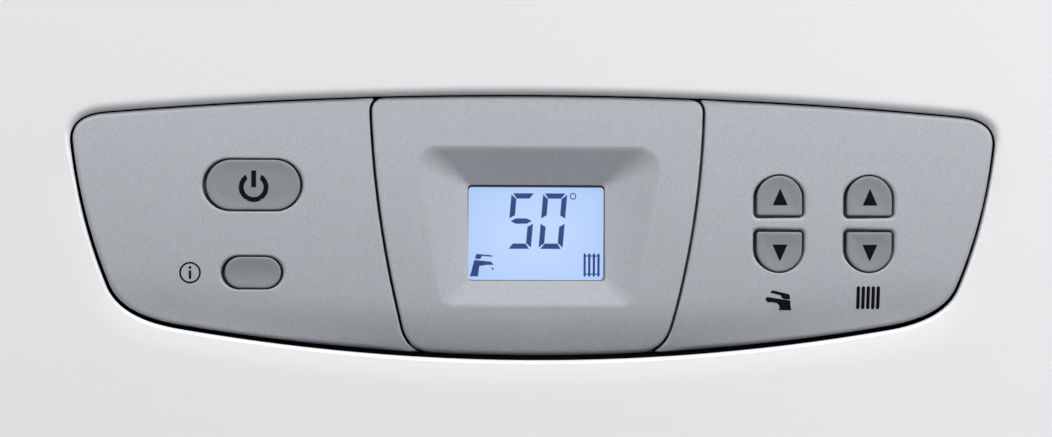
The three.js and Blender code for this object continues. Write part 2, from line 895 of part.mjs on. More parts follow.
// Side panel: a sheet with its front edge folded inwards, drawn in (x, y)
function sidePanel(side) {
  const [outer, inner] = [halfWidth, halfWidth - sheet];
  const points = [
    [outer, 0], [inner, 0], [inner, -sideDepth + sheet], [inner - flange, -sideDepth + sheet],
    [inner - flange, -sideDepth], [outer, -sideDepth],
  ];
  return alongZ(polygon(points.map(([x, y]) => [side * x, y])), -halfHeight, halfHeight);
}

// Top and bottom plates between the side panels
function endPlate(zLow) {
  return box(-innerHalf, innerHalf, -sideDepth + sheet + seatGap, 0, zLow, zLow + sheet);
}
function topPlate() {
  const zLow = halfHeight - sheet;
  const hole = rodZ(flueX, -flueDepth, collarRadius - collarWall, zLow - overrun, zLow + overrun, fineSteps);
  return cut(endPlate(zLow), hole);
}
function bottomPlate() {
  const zLow = -halfHeight;
  const hole = (x, y, radius) => rodZ(x, y, radius + 2 * runningGap, zLow - overrun, zLow + overrun);
  const holes = [
    hole(flowX, -connectionDepth, manifoldLowRadius),
    hole(hotWaterPipeX, -connectionDepth, waterPipeRadius),
    hole(gasX, -connectionDepth, waterPipeRadius),
    hole(coldWaterX, -connectionDepth, waterPipeRadius),
    hole(returnX, -connectionDepth, manifoldLowRadius),
    hole(trapX, -condensateDepth, trapNeck),
    hole(returnX - reliefOutletSpread, -reliefOutletY(), waterPipeRadius),
  ];
  return cut(endPlate(zLow), holes);
}
function reliefOutletY() {
  return connectionDepth + manifoldRadius + reliefLength * reliefOutletShare;
}

// Front cover: a bowed tray of sheet with returns all round and a rolled opening for the panel
function coverProfile(inset, yBack) {
  const half = halfWidth - inset;
  const corner = coverCorner - inset;
  const shape = new THREE.Shape();
  shape.moveTo(half, yBack);
  const edge = faceY(half, inset) + corner;
  shape.lineTo(-half, yBack);
  shape.lineTo(-half, edge);
  shape.quadraticCurveTo(-half, faceY(half, inset), corner - half, faceY(half - corner, inset));
  for (let i = 1; i < bowSteps; i += 1) {
    const x = (half - corner) * ((2 * i) / bowSteps - 1);
    shape.lineTo(x, faceY(x, inset));
  }
  shape.lineTo(half - corner, faceY(half - corner, inset));
  shape.quadraticCurveTo(half, faceY(half, inset), half, edge);
  return shape;
}
function frontCover() {
  const yBack = -sideDepth - seatGap;
  const outer = alongZ(coverProfile(0, yBack), -halfHeight, halfHeight, coarseSteps);
  const inner = alongZ(
    coverProfile(sheet, yBack + overrun), -halfHeight + sheet, halfHeight - sheet, coarseSteps);
  const lipOuter = prism(grown(panel, panelGap + sheet), forwardPlane, -sideDepth);
  const lip = lipOuter.intersect(bowedSlab(sheet / 2, lipDepth, halfWidth, -halfHeight, 0));
  const opening = roundedFront(panel, panelGap, -lipRound, -sideDepth);
  return cut(join(cut(outer, inner), lip), opening);
}

// One moulded section of the panel: skin on the bowed face with a rim behind it
const panelFace = bowedSlab(0, panelRim, halfWidth, panelBottomLevel - overrun, 0);
const panelHollow = bowedSlab(panelSkin, panelRim + overrun, halfWidth, panelBottomLevel - overrun, 0);
const panelBlock = roundedFront(panel, 0, panelEdgeRound, -sideDepth).intersect(panelFace);
const panelPocket = prism(grown(panel, -rimWall), forwardPlane, -sideDepth).intersect(panelHollow);

// Boss from the panel's skin to a tab of the tray
function panelBoss(x) {
  const level = hingeZ + trayTop + tabHeight / 2;
  return rodY(x, level, bossRadius, faceY(x, panelSkin / 2), hingeY + trayFront - seatGap);
}
function buttonHoles(names) {
  return names.map((name) => prism(grown(buttons[name].outline, buttonGap), forwardPlane, -sideDepth));
}
function wing(side, names) {
  const far = side * bigSpan;
  const [low, high] = [Math.min(0, far), Math.max(0, far)];
  const half = box(low, high, forwardPlane, -sideDepth, panelBottomLevel - overrun, 0);
  const shell = cut(panelBlock.intersect(half), splitColumn(splitGap));
  const pocket = cut(panelPocket.intersect(half), splitColumn(splitGap + rimWall));
  return cut(join(cut(shell, pocket), panelBoss(side * tabSpread)), buttonHoles(names));
}

// Centre section: the funnel-shaped recess runs back to the display window
function recessRings(extra) {
  const outer = softTrapezoid(
    recessLowHalf, recessTopHalf, recessLowLevel, recessTopLevel, recessLowRound, recessTopRound);
  const inner = softTrapezoid(
    windowHalf, windowHalf, windowLowLevel, windowTopLevel, windowRound, windowRound);
  return [grown(outer, extra), grown(inner, extra)];
}
function fasciaCentre() {
  const outline = centreOutline();
  const backY = -caseDepth + recessDepth;
  const block = prism(outline, forwardPlane, -sideDepth).intersect(panelBlock);
  const pocket = prism(grown(outline, -rimWall), forwardPlane, -sideDepth).intersect(panelPocket);
  const [wallOuter, wallInner] = recessRings(recessWall);
  const walls = loft([bowedRing(wallOuter, panelSkin / 2), flatRing(wallInner, backY)]);
  const [outer, inner] = recessRings(0);
  const flare = outer.map((point, i) => point.clone().lerp(inner[i], -overrun / recessDepth / 2));
  const mouth = loft([
    flatRing(flare, forwardPlane),
    bowedRing(flare, -overrun / 2),
    bowedRing(outer, 0),
    flatRing(inner, backY),
    flatRing(inner, backY + overrun),
  ]);
  const grooves = [-1, 1].map((side) => {
    const ends = [side * (lugInner - seatGap * 2), side * (armOuter() + seatGap * 2)];
    return rodX(hingeY, hingeZ, eyeRadius + seatGap, Math.min(...ends), Math.max(...ends));
  });
  const bosses = [-1, 1].map((side) => panelBoss(side * centreTabSpread));
  return cut(join(cut(block, pocket), walls, bosses), mouth, grooves);
}

// Display: glass behind the recess, and the backlit module behind the glass
function displayWindow() {
  const yLow = -caseDepth + recessDepth + seatGap;
  const half = windowHalf + windowMargin;
  const low = panelBottomLevel + windowLowLevel - windowMargin;
  const high = panelBottomLevel + windowTopLevel + windowMargin;
  return alongY(roundedBox(-half, half, low, high, windowRound), yLow, yLow + windowGlass, cornerSteps);
}
function lcdModule() {
  const yLow = -caseDepth + recessDepth + 2 * seatGap + windowGlass;
  const half = windowHalf + windowMargin + lcdBezel;
  const low = panelBottomLevel + windowLowLevel - windowMargin + seatGap;
  const high = panelBottomLevel + windowTopLevel + lcdTopMargin;
  return alongY(roundedBox(-half, half, low, high, windowRound), yLow, yLow + lcdThickness, cornerSteps);
}

// A button: rounded cap through the panel, collar behind the skin and a stem to its switch
function buttonPiece({ outline, x, level }) {
  const proud = -buttonProud;
  const collarFront = panelSkin + seatGap;
  const back = collarFront + collarThickness;
  const wide = grown(outline, collarWidth);
  const cap = loft([
    bowedRing(grown(outline, -buttonRound), proud),
    bowedRing(grown(outline, -buttonRound / 3), proud + buttonRound / 3),
    bowedRing(outline, proud + buttonRound),
    bowedRing(outline, collarFront),
    bowedRing(wide, collarFront),
    bowedRing(wide, back),
  ]);
  const stemEnd = hingeY + displayBoardSetback - switchHeight - buttonTravel - seatGap;
  return join(cap, rodY(x, level + panelBottomLevel, stemRadius, faceY(x, collarFront), stemEnd));
}

// Control tray: a shallow moulded box, open to the front, with tabs for the panel and two hinge lugs
function trayOutline(inset) {
  const [half, step] = [trayHalfWidth - inset, trayStepHalf - inset];
  const [low, stepLow, top] = [trayLow + inset, trayStepLow + inset, trayTop - inset];
  const points = [
    [-step, stepLow], [step, stepLow], [step, low], [half, low],
    [half, top], [-half, top], [-half, low], [-step, low],
  ];
  return polygon(points.map(([x, z]) => [x, z + hingeZ]));
}
function armOuter() {
  return lugInner + lugThickness + lugGap + armThickness;
}
function trayLug(side) {
  const onEye = (turn) => [hingeY + eyeRadius * Math.cos(turn), hingeZ + eyeRadius * Math.sin(turn)];
  const profile = polygon([
    onEye(lugTopTurn), onEye(lugLowTurn),
    [hingeY + eyeRadius, hingeZ], [hingeY + trayFront + trayLow, hingeZ + trayLow],
    [hingeY + trayFront + trayLow, hingeZ + trayLow + trayWall],
    [hingeY + trayFront / 2, hingeZ + trayLow + trayWall],
  ]);
  const ends = [side * lugInner, side * (lugInner + lugThickness)];
  const [low, high] = [Math.min(...ends), Math.max(...ends)];
  const eye = rodX(hingeY, hingeZ, eyeRadius, low, high);
  const pinEnds = [side * (lugInner + lugThickness / 2), side * (armOuter() - seatGap)];
  const pin = rodX(hingeY, hingeZ, pinRadius, Math.min(...pinEnds), Math.max(...pinEnds));
  return join(alongX(profile, low, high), eye, pin);
}
function controlTray() {
  const [front, back] = [hingeY + trayFront, hingeY + trayBack];
  const shell = alongY(trayOutline(0), front, back);
  const hollow = alongY(trayOutline(trayWall), front - overrun, back - trayWall);
  const tabs = [-tabSpread, -centreTabSpread, centreTabSpread, tabSpread].map((x) => {
    const top = hingeZ + trayTop;
    const [left, right] = [x - tabWidth / 2, x + tabWidth / 2];
    return box(left, right, front, front + tabThickness, top - trayWall, top + tabHeight);
  });
  return join(cut(shell, hollow), tabs, trayLug(-1), trayLug(1));
}

// Circuit boards inside the tray
function boardBox(setback) {
  const half = trayHalfWidth - trayWall - seatGap;
  const low = hingeZ + trayLow + trayWall + seatGap;
  const high = hingeZ + trayTop - trayWall - seatGap;
  const front = hingeY + setback;
  return box(-half, half, front, front + boardThickness, low, high);
}
function displayBoard() {
  const front = hingeY + displayBoardSetback;
  const switches = Object.values(buttons).map(({ x, level }) => {
    const z = level + panelBottomLevel;
    const [half, low] = [switchSize / 2, front - switchHeight];
    return box(x - half, x + half, low, front + boardThickness / 2, z - half, z + half);
  });
  return join(boardBox(displayBoardSetback), switches);
}
function mainBoard() {
  const front = hingeY + mainBoardSetback;
  const parts = [-2, -1, 1, 2].map((place) => {
    const x = place * relayPitch;
    const z = hingeZ + trayTop / 2;
    const half = relayWidth / 2;
    const tall = relayHeight * (place < 0 ? 1 : lowRelayShare);
    return box(x - half, x + half, front - tall, front + boardThickness / 2, z - half / 2, z + half);
  });
  return join(boardBox(mainBoardSetback), parts);
}

// Crossmember behind the cover's lower part, with two goose-neck arms that hold the tray's pins
function hingeArm(side) {
  const rear = hingeY + armReach + armWidth;
  const front = hingeY + armReach;
  const low = hingeZ - crossDrop - crossHeight / 2;
  const plateY = -sideDepth + sheet + seatGap;
  const profile = polygon([
    [hingeY, hingeZ - pinRadius], [front, hingeZ + armLean / 4], [front, low],
    [plateY + sheet, low], [plateY + sheet, low + crossHeight / 2], [rear, low + crossHeight / 2],
    [rear, hingeZ + armLean], [front, hingeZ + armLean], [hingeY, hingeZ + eyeRadius],
  ]);
  const ends = [side * (armOuter() - armThickness), side * armOuter()];
  const [xLow, xHigh] = [Math.min(...ends), Math.max(...ends)];
  const eye = rodX(hingeY, hingeZ, eyeRadius, xLow, xHigh);
  const hole = rodX(hingeY, hingeZ, pinRadius + seatGap, xLow - overrun, xHigh + overrun);
  return cut(join(alongX(profile, xLow, xHigh), eye), hole);
}
function hingeCrossmember() {
  const top = hingeZ - crossDrop;
  const front = -sideDepth + sheet + seatGap;
  const web = box(-innerHalf, innerHalf, front, front + sheet, top - crossHeight, top);
  const shelf = box(
    -innerHalf, innerHalf, front, front + crossDepth, top - crossHeight, top - crossHeight + sheet);
  return join(web, shelf, hingeArm(-1), hingeArm(1));
}

// Flue collar on the top plate and the exhaust pipe that rises through it
function flueCollar() {
  const low = halfHeight + seatGap;
  const inner = collarRadius - collarWall;
  const profile = [
    [inner, low], [collarFlangeRadius, low], [collarFlangeRadius, low + collarFlangeThickness],
    [collarRadius, low + collarFlangeThickness], [collarRadius, low + collarHeight],
    [inner, low + collarHeight], [inner, low],
  ];
  return turnedZ(profile, flueX, -flueDepth, 28);
}
function flueOutletPipe() {
  const [low, high] = [exchangerZ, halfHeight + flueRise];
  const inner = fluePipeRadius - fluePipeWall;
  const profile = [[inner, low], [fluePipeRadius, low], [fluePipeRadius, high], [inner, high], [inner, low]];
  const reach = exchangerRadius + seatGap;
  const drum = turnedY(
    [[0, -exchangerFront], [reach, -exchangerFront], [reach, -exchangerBack], [0, -exchangerBack]],
    exchangerX, exchangerZ, drumSides);
  return cut(turnedZ(profile, flueX, -flueDepth, 20), drum);
}

// Heat exchanger drum with its dished back, ports and side lugs
function exchangerShell() {
  const [front, back] = [-exchangerFront, -exchangerBack];
  const inside = exchangerRadius - exchangerWall;
  const profile = [
    [0, back], [exchangerRadius * drumShares.dish, back], [exchangerRadius, back - exchangerDish],
    [exchangerRadius, front + exchangerFlangeThickness], [exchangerFlange, front + exchangerFlangeThickness],
    [exchangerFlange, front], [inside, front], [inside, back - exchangerDish - exchangerWall],
    [exchangerRadius * drumShares.dish, back - exchangerWall], [0, back - exchangerWall],
  ];
  const drum = turnedY(profile, exchangerX, exchangerZ, drumSides);
  const bore = rodY(
    exchangerX, exchangerZ, inside, front - overrun, back - exchangerDish - exchangerWall, fineSteps);
  const port = (x, y, radius, drop) => rodZ(
    x, y, radius, exchangerZ - drop, exchangerZ - exchangerRadius / 2);
  const ports = [
    port(exchangerX - portSpread, -connectionDepth, portRadius, portDrop),
    port(exchangerX + portSpread, -connectionDepth, portRadius, portDrop),
    port(exchangerX, -condensateDepth, condensatePortRadius, condensatePortDrop),
  ];
  const lugs = [-1, 1].map((side) => {
    const z = exchangerZ + side * shellLugSpread;
    const [yLow, yHigh] = [-connectionDepth - shellLugDepth, -connectionDepth];
    const xHigh = exchangerX - exchangerRadius * drumShares.lugReach;
    return box(-innerHalf, xHigh, yLow, yHigh, z - shellLugHeight / 2, z + shellLugHeight / 2);
  });
  return join(drum, cut(join(ports, lugs), bore));
}

// Exchanger coil inside the drum: a sleeve of hollow ribs, open towards the burner
function exchangerCoil() {
  const front = -exchangerFront + coilFrontInset;
  const outer = exchangerRadius - exchangerWall - coilMargin;
  const profile = [[coilInner, front]];
  for (let i = 0; i < coilRibs; i += 1) {
    const y = front + i * coilRibPitch;
    profile.push([outer, y], [outer, y + coilRibWidth]);
    if (i + 1 < coilRibs) {
      profile.push([coilInner + coilCore, y + coilRibWidth], [coilInner + coilCore, y + coilRibPitch]);
    }
  }
  profile.push([coilInner, front + (coilRibs - 1) * coilRibPitch + coilRibWidth], [coilInner, front]);
  const hollows = Array.from({ length: coilRibs }, (unused, i) => {
    const yLow = front + i * coilRibPitch + coilWall;
    const yHigh = yLow + coilRibWidth - 2 * coilWall;
    const [near, far] = [coilInner - overrun, outer - coilWall];
    const ring = [[near, yLow], [far, yLow], [far, yHigh], [near, yHigh], [near, yLow]];
    return turnedY(ring, exchangerX, exchangerZ, coilSides);
  });
  return cut(turnedY(profile, exchangerX, exchangerZ, coilSides), hollows);
}

// Cast burner door with its mixture hood reaching to the fan
function burnerDoor() {
  const back = -exchangerFront - seatGap;
  const front = back - doorThickness;
  const profile = [
    [0, front], [exchangerRadius - doorStudRadius * 3, front],
    [exchangerRadius - doorStudRadius * 2, back - doorRim],
    [exchangerFlange, back - doorRim], [exchangerFlange, back], [0, back],
  ];
  const disc = turnedY(profile, exchangerX, exchangerZ, drumSides);
  const studs = Array.from({ length: doorStuds }, (unused, k) => {
    const angle = (2 * Math.PI * (k + 0.5)) / doorStuds;
    const x = exchangerX + doorStudCircle * Math.cos(angle);
    const z = exchangerZ + doorStudCircle * Math.sin(angle);
    return rodY(x, z, doorStudRadius, back - doorRim - doorStudHeight, back - doorRim / 2, 3);
  });
  const outletHigh = fanZ + scrollBase + scrollGrowth;
  const outletLow = outletHigh - outletHeight;
  const flangeX = fanX - outletReach - seatGap;
  const hoodFront = front - hoodDepth;
  const duct = alongY(polygon([
    [exchangerX, exchangerZ - hoodRadius], [exchangerX + hoodRadius, exchangerZ],
    [flangeX, outletLow + fanWall], [flangeX, outletHigh - fanWall], [exchangerX, exchangerZ + hoodRadius],
  ]), hoodFront, front + doorThickness / 2);
  const round = rodY(exchangerX, exchangerZ, hoodRadius, hoodFront, front + doorThickness / 2, mediumSteps);
  const plate = box(
    flangeX - hoodFlangeThickness, flangeX, hoodFront - hoodFlangeThickness, -fanFront + fanDepth,
    outletLow - hoodFlangeThickness, outletHigh + hoodFlangeThickness);
  const [x, z] = electrodePlace();
  const hole = rodY(x, z, ceramicRadius + seatGap, front - overrun, back + overrun);
  return cut(join(disc, studs, duct, round, plate), hole);
}
function electrodePlace() {
  const x = exchangerX + electrodeCircle * Math.cos(electrodeAngle);
  const z = exchangerZ + electrodeCircle * Math.sin(electrodeAngle);
  return [x, z];
}

// Burner tube hanging from the door inside the coil
function burnerTube() {
  const front = -exchangerFront;
  const inside = burnerRadius - exchangerWall;
  const profile = [
    [0, front + burnerLength], [burnerRadius, front + burnerLength], [burnerRadius, front + exchangerWall],
    [burnerFlange, front + exchangerWall], [burnerFlange, front], [inside, front],
    [inside, front + burnerLength - exchangerWall], [0, front + burnerLength - exchangerWall],
  ];
  return turnedY(profile, exchangerX, exchangerZ, 20);
}
function ignitionElectrode() {
  const [x, z] = electrodePlace();
  const doorFront = -exchangerFront - seatGap - doorThickness;
  const ceramicFront = doorFront - ceramicOut;
  const ceramicBack = -exchangerFront + ceramicIn;
  const flangeBack = doorFront - seatGap;
  return join(
    rodY(x, z, ceramicRadius, ceramicFront, ceramicBack, 4),
    rodY(x, z, electrodeFlange, flangeBack - sheet, flangeBack, 4),
    rodY(x, z, electrodeRod, ceramicBack - overrun, ceramicBack + electrodeReach, 3),
  );
}

// Fan housing: a scroll that widens round the impeller and leaves to the left at the top
function scrollPoint(angle, inset) {
  const share = (angle - scrollStart) / (2 * Math.PI);
  const radius = scrollBase + scrollGrowth * share - inset;
  return [fanX + radius * Math.cos(angle), fanZ + radius * Math.sin(angle)];
}
function scrollShape(inset) {
  const steps = 22;
  const points = Array.from({ length: steps + 1 }, (unused, k) => {
    return scrollPoint(scrollStart + ((scrollEnd - scrollStart) * k) / steps, inset);
  });
  return polygon(points);
}
function fanHousing() {
  const [front, back] = [-fanFront, -fanFront + fanDepth];
  const top = scrollPoint(scrollEnd, 0)[1];
  const left = fanX - outletReach;
  const outlet = box(left, fanX, front, back, top - outletHeight, top);
  const bore = box(
    left - overrun, fanX, front + fanWall, back - fanWall, top - outletHeight + fanWall, top - fanWall);
  const scroll = alongY(scrollShape(0), front, back);
  const chamber = alongY(scrollShape(fanWall), front + fanWall, back - fanWall);
  const mouth = rodY(fanX, fanZ, impellerRadius + fanWall, front - overrun, front + 2 * fanWall, fineSteps);
  const inlet = rodY(fanX, fanZ, fanInletRadius, back - 2 * fanWall, back + overrun, mediumSteps);
  return cut(join(scroll, outlet), chamber, bore, mouth, inlet);
}

// Centrifugal impeller with swept blades between a back plate and the inlet ring
function bladeShape(x, z, inner, outer, angle, sweep, thickness) {
  const path = [];
  const steps = 3;
  for (let k = 0; k <= steps; k += 1) {
    const radius = inner + ((outer - inner) * k) / steps;
    const turn = angle - (sweep * k) / steps;
    path.push([radius, turn]);
  }
  const side = (sign) => path.map(([radius, turn]) => {
    const shifted = turn + (sign * thickness) / 2 / radius;
    return [x + radius * Math.cos(shifted), z + radius * Math.sin(shifted)];
  });
  return polygon([...side(-1), ...side(1).reverse()]);
}
function fanImpeller() {
  const front = -fanFront + impellerSetback;
  const back = front + impellerDepth;
  const plate = rodY(fanX, fanZ, impellerRadius, front, front + impellerPlate, fineSteps);
  const ring = cut(
    rodY(fanX, fanZ, impellerRadius, back - impellerPlate, back, fineSteps),
    rodY(fanX, fanZ, impellerEye, back - impellerPlate - overrun, back + overrun, mediumSteps));
  const blades = Array.from({ length: impellerBlades }, (unused, k) => {
    const angle = (2 * Math.PI * k) / impellerBlades;
    const shape = bladeShape(
      fanX, fanZ, impellerEye, impellerRadius - impellerPlate / 2, angle, bladeSweep, bladeThickness);
    return alongY(shape, front + impellerPlate / 2, back - impellerPlate / 2);
  });
  const hub = rodY(fanX, fanZ, hubRadius, front, back - 2 * impellerPlate, coarseSteps);
  const bore = rodY(
    fanX, fanZ, shaftRadius + seatGap, front - overrun, back - 4 * impellerPlate, coarseSteps);
  return cut(join(plate, ring, blades, hub), bore);
}
function fanMotor() {
  const flangeBack = -fanFront - seatGap;
  const flangeFront = flangeBack - motorFlangeThickness;
  const shaftBack = -fanFront + impellerSetback + impellerDepth - 4 * impellerPlate - seatGap;
  const body = rodY(fanX, fanZ, motorRadius, flangeFront - motorLength, flangeFront, fineSteps);
  const slots = Array.from({ length: motorFins }, (unused, k) => {
    const angle = (2 * Math.PI * k) / motorFins;
    const shape = bladeShape(fanX, fanZ, motorRadius - finDepth, motorRadius + finDepth, angle, 0, finWidth);
    return alongY(shape, flangeFront - motorLength + finDepth, flangeFront - finDepth);
  });
  return join(
    cut(body, slots),
    rodY(fanX, fanZ, motorFlangeRadius, flangeFront, flangeBack, fineSteps),
    rodY(fanX, fanZ, shaftRadius, flangeFront, shaftBack, coarseSteps),
  );
}

// Venturi that mixes gas and air behind the fan
function venturiMixer() {
  const front = -fanFront + fanDepth + seatGap;
  const back = front + mixerLength;
  const waist = (front + back) / 2;
  const throat = mixerBore;
  const profile = [
    [mixerRadius, front], [mixerRadius, front + finDepth], [mixerWaist + fanWall, waist - finDepth],
    [mixerWaist + fanWall, waist + finDepth], [mixerRadius, back - finDepth], [mixerRadius, back],
    [fanInletRadius, back], [throat, waist + finDepth], [throat, waist - finDepth], [fanInletRadius, front],
    [mixerRadius, front],
  ];
  const spout = rodZ(fanX, waist, gasSpoutRadius, mixerSpoutLevel(), fanZ - throat - finDepth);
  return join(turnedY(profile, fanX, fanZ, 16), spout);
}
function mixerSpoutLevel() {
  return fanZ - mixerRadius - finDepth;
}
function mixerMiddle() {
  return -fanFront + fanDepth + seatGap + mixerLength / 2;
}

// Moulded silencer box, open at the top, that feeds air to the mixer
function airSilencer() {
  const front = -fanFront + fanDepth + mixerLength + 2 * seatGap;
  const back = front + silencerDepth;
  const [left, right] = [silencerX - silencerWidth / 2, silencerX + silencerWidth / 2];
  const high = silencerLow + silencerHeight;
  const outer = alongZ(roundedBox(left, right, front, back, silencerCorner), silencerLow, high, cornerSteps);
  const inner = alongZ(
    roundedBox(left + silencerWall, right - silencerWall, front + silencerWall, back - silencerWall,
      silencerCorner - silencerWall), silencerLow + silencerWall, high + overrun, cornerSteps);
  const hole = rodY(fanX, fanZ, fanInletRadius, front - overrun, front + silencerWall + overrun, mediumSteps);
  return cut(outer, inner, hole);
}

// Gas valve with two actuator coils and its spout up to the mixer
function gasValvePlane() {
  return mixerMiddle() + gasValveOffset;
}
function gasValve() {
  const y = gasValvePlane();
  const [left, right] = [gasValveX - gasValveWidth / 2, gasValveX + gasValveWidth / 2];
  const [front, back] = [y - gasValveLength / 2, y + gasValveLength / 2];
  const block = alongZ(roundedBox(left, right, front, back, gasValveCorner), 0, gasValveHeight, cornerSteps);
  const spout = rodZ(
    fanX, mixerMiddle(), gasSpoutRadius, gasValveHeight - overrun, mixerSpoutLevel() - seatGap);
  const coils = [-1, 1].map((side) => {
    const level = gasValveHeight / 2 + side * gasCoilSpread;
    return rodY(gasValveX, level, gasCoilRadius, front - gasCoilHeight, front + overrun, coarseSteps);
  });
  return join(block, spout, coils);
}
function gasPipe() {
  const y = gasValvePlane();
  return pipe([
    [gasX, -connectionDepth, stubLevel],
    [gasX, -connectionDepth, tailBendLevel],
    [gasX, y, tailBendLevel],
    [gasX, y, gasCrossLevel],
    [gasValveX, y, gasCrossLevel],
    [gasValveX, y, -seatGap],
  ], waterPipeRadius, bendRadius);
}

// Expansion vessel: a flat pressed drum with a crimped rim against the back plate
function expansionVessel() {
  const back = wallInner;
  const front = back - vesselDepth;
  const middle = (front + back) / 2;
  const flat = vesselRadius - vesselDish;
  const shoulder = vesselDepth / 5;
  const body = vesselRadius - vesselRim;
  const profile = [
    [0, back], [flat, back], [body, back - shoulder], [body, middle + vesselRimWidth / 2],
    [vesselRadius, middle + vesselRimWidth / 2], [vesselRadius, middle - vesselRimWidth / 2],
    [body, middle - vesselRimWidth / 2], [body, front + shoulder], [flat, front], [0, front],
  ];
  const inside = body - vesselWall;
  const hollow = [
    [0, back - vesselWall], [flat, back - vesselWall], [inside, back - shoulder], [inside, front + shoulder],
    [flat, front + vesselWall], [0, front + vesselWall],
  ];
  const low = vesselZ - vesselRadius;
  const port = rodZ(vesselX, middle, vesselPortRadius, low - vesselPortLength, low + vesselDish / 2);
  const bore = rodZ(vesselX, middle, vesselBore, low - vesselPortLength - overrun, low + vesselDish);
  const drum = turnedY(profile, vesselX, vesselZ, vesselSides);
  return cut(join(drum, port), turnedY(hollow, vesselX, vesselZ, vesselSides), bore);
}
function vesselPipe() {
  const y = wallInner - vesselDepth / 2;
  const top = vesselZ - vesselRadius - vesselPortLength - seatGap;
  const level = (plateLow + reliefLevel) / 2 + vesselPortRadius;
  return pipe([
    [vesselX, y, top],
    [vesselX, y, vesselPipeLevel],
    [vesselPipeX, y, vesselPipeLevel],
    [vesselPipeX, y, level],
    [vesselPipeX, -connectionDepth, level],
    [returnX + manifoldRadius + seatGap, -connectionDepth, level],
  ], vesselPipeRadius, smallBend, 4);
}

// Manifolds: an upright barrel over each heating connection, with a branch to the plate exchanger
function manifold(x, top) {
  const side = Math.sign(x);
  const low = tailBendLevel - manifoldRadius;
  const y = -connectionDepth;
  const branchY = -plateBack - plateDepth / 2;
  const branch = pipe([
    [x, y + manifoldRadius / 2, branchLevel],
    [x, branchY, branchLevel],
    [side * (plateHalfWidth + seatGap), branchY, branchLevel],
  ], branchRadius, bendRadius);
  const barrel = rodZ(x, y, manifoldRadius, low, top, mediumSteps);
  const tail = rodZ(x, y, manifoldLowRadius, stubLevel, low + overrun, coarseSteps);
  const cap = hexZ(x, y, manifoldRadius + finDepth, low, low + valveNutHeight);
  return join(barrel, tail, cap, branch);
}
function plateExchanger() {
  const [front, back] = [-plateBack - plateDepth, -plateBack];
  const high = plateLow + plateHeight;
  const outline = roundedBox(-plateHalfWidth, plateHalfWidth, plateLow, high, plateCorner);
  const inner = roundedBox(
    -plateHalfWidth + plateGroove, plateHalfWidth - plateGroove, plateLow + plateGroove, high - plateGroove,
    plateCorner - plateGroove);
  const pitch = plateDepth / plateCount;
  const plates = Array.from({ length: plateCount }, (unused, k) => {
    return alongY(outline, front + pitch * k, front + pitch * (k + plateFaceShare), cornerSteps);
  });
  return join(alongY(inner, front, back - pitch * (1 - plateFaceShare), cornerSteps), plates);
}

// Pump: a cast volute on the return side, with its motor towards the front
function pumpBody() {
  const [front, back] = [-pumpBack - pumpDepth, -pumpBack];
  const middle = (front + back) / 2;
  const volute = rodY(returnX, pumpZ, pumpRadius, front, back, fineSteps);
  const chamber = rodY(
    returnX, pumpZ, pumpRadius - pumpWall * 2, front - overrun, back - pumpWall * 2, fineSteps);
  const bottom = rodZ(
    returnX, middle, pumpPortRadius,
    pumpZ - pumpRadius - pumpPortLength, pumpZ - pumpRadius + pumpWall, coarseSteps);
  const top = rodZ(
    returnX, middle, pumpPortRadius,
    pumpZ + pumpRadius - pumpWall, pumpZ + pumpRadius + pumpPortLength, coarseSteps);
  return join(cut(volute, chamber), bottom, top);
}
function pumpMotor() {
  const back = -pumpBack - pumpDepth - seatGap;
  const front = back - pumpMotorLength;
  const profile = [
    [0, front], [pumpMotorCap, front], [pumpMotorRadius - pumpWall, front + pumpWall],
    [pumpMotorRadius - pumpWall, back - 2 * pumpWall], [pumpMotorRadius, back - 2 * pumpWall],
    [pumpMotorRadius, back], [pumpShaftRadius, back], [pumpShaftRadius, back + pumpImpellerDepth],
    [0, back + pumpImpellerDepth],
  ];
  return turnedY(profile, returnX, pumpZ, 24);
}
function pumpImpeller() {
  const front = -pumpBack - pumpDepth + pumpWall;
  const back = front + pumpImpellerDepth;
  const plate = rodY(returnX, pumpZ, pumpImpellerRadius, front, front + impellerPlate, mediumSteps);
  const blades = Array.from({ length: pumpBlades }, (unused, k) => {
    const angle = (2 * Math.PI * k) / pumpBlades;
    const shape = bladeShape(
      returnX, pumpZ, hubRadius, pumpImpellerRadius - impellerPlate, angle, 1, bladeThickness);
    return alongY(shape, front + impellerPlate / 2, back);
  });
  const hub = rodY(returnX, pumpZ, hubRadius + impellerPlate, front, back, mediumSteps);
  const bore = rodY(
    returnX, pumpZ, pumpShaftRadius + seatGap,
    front - overrun, front + pumpImpellerDepth - impellerPlate, coarseSteps);
  return cut(join(plate, blades, hub), bore);
}
function airVent() {
  const x = returnX + ventOffset;
  const low = pumpZ + Math.sqrt(pumpRadius ** 2 - (Math.abs(ventOffset) - ventRadius) ** 2) + seatGap;
  const cap = low + ventHeight;
  const profile = [
    [0, low], [ventRadius, low], [ventRadius, cap], [ventCapRadius, cap],
    [ventCapRadius, cap + ventCapHeight], [0, cap + ventCapHeight],
  ];
  return turnedZ(profile, x, -pumpBack - pumpDepth / 2, 16);
}

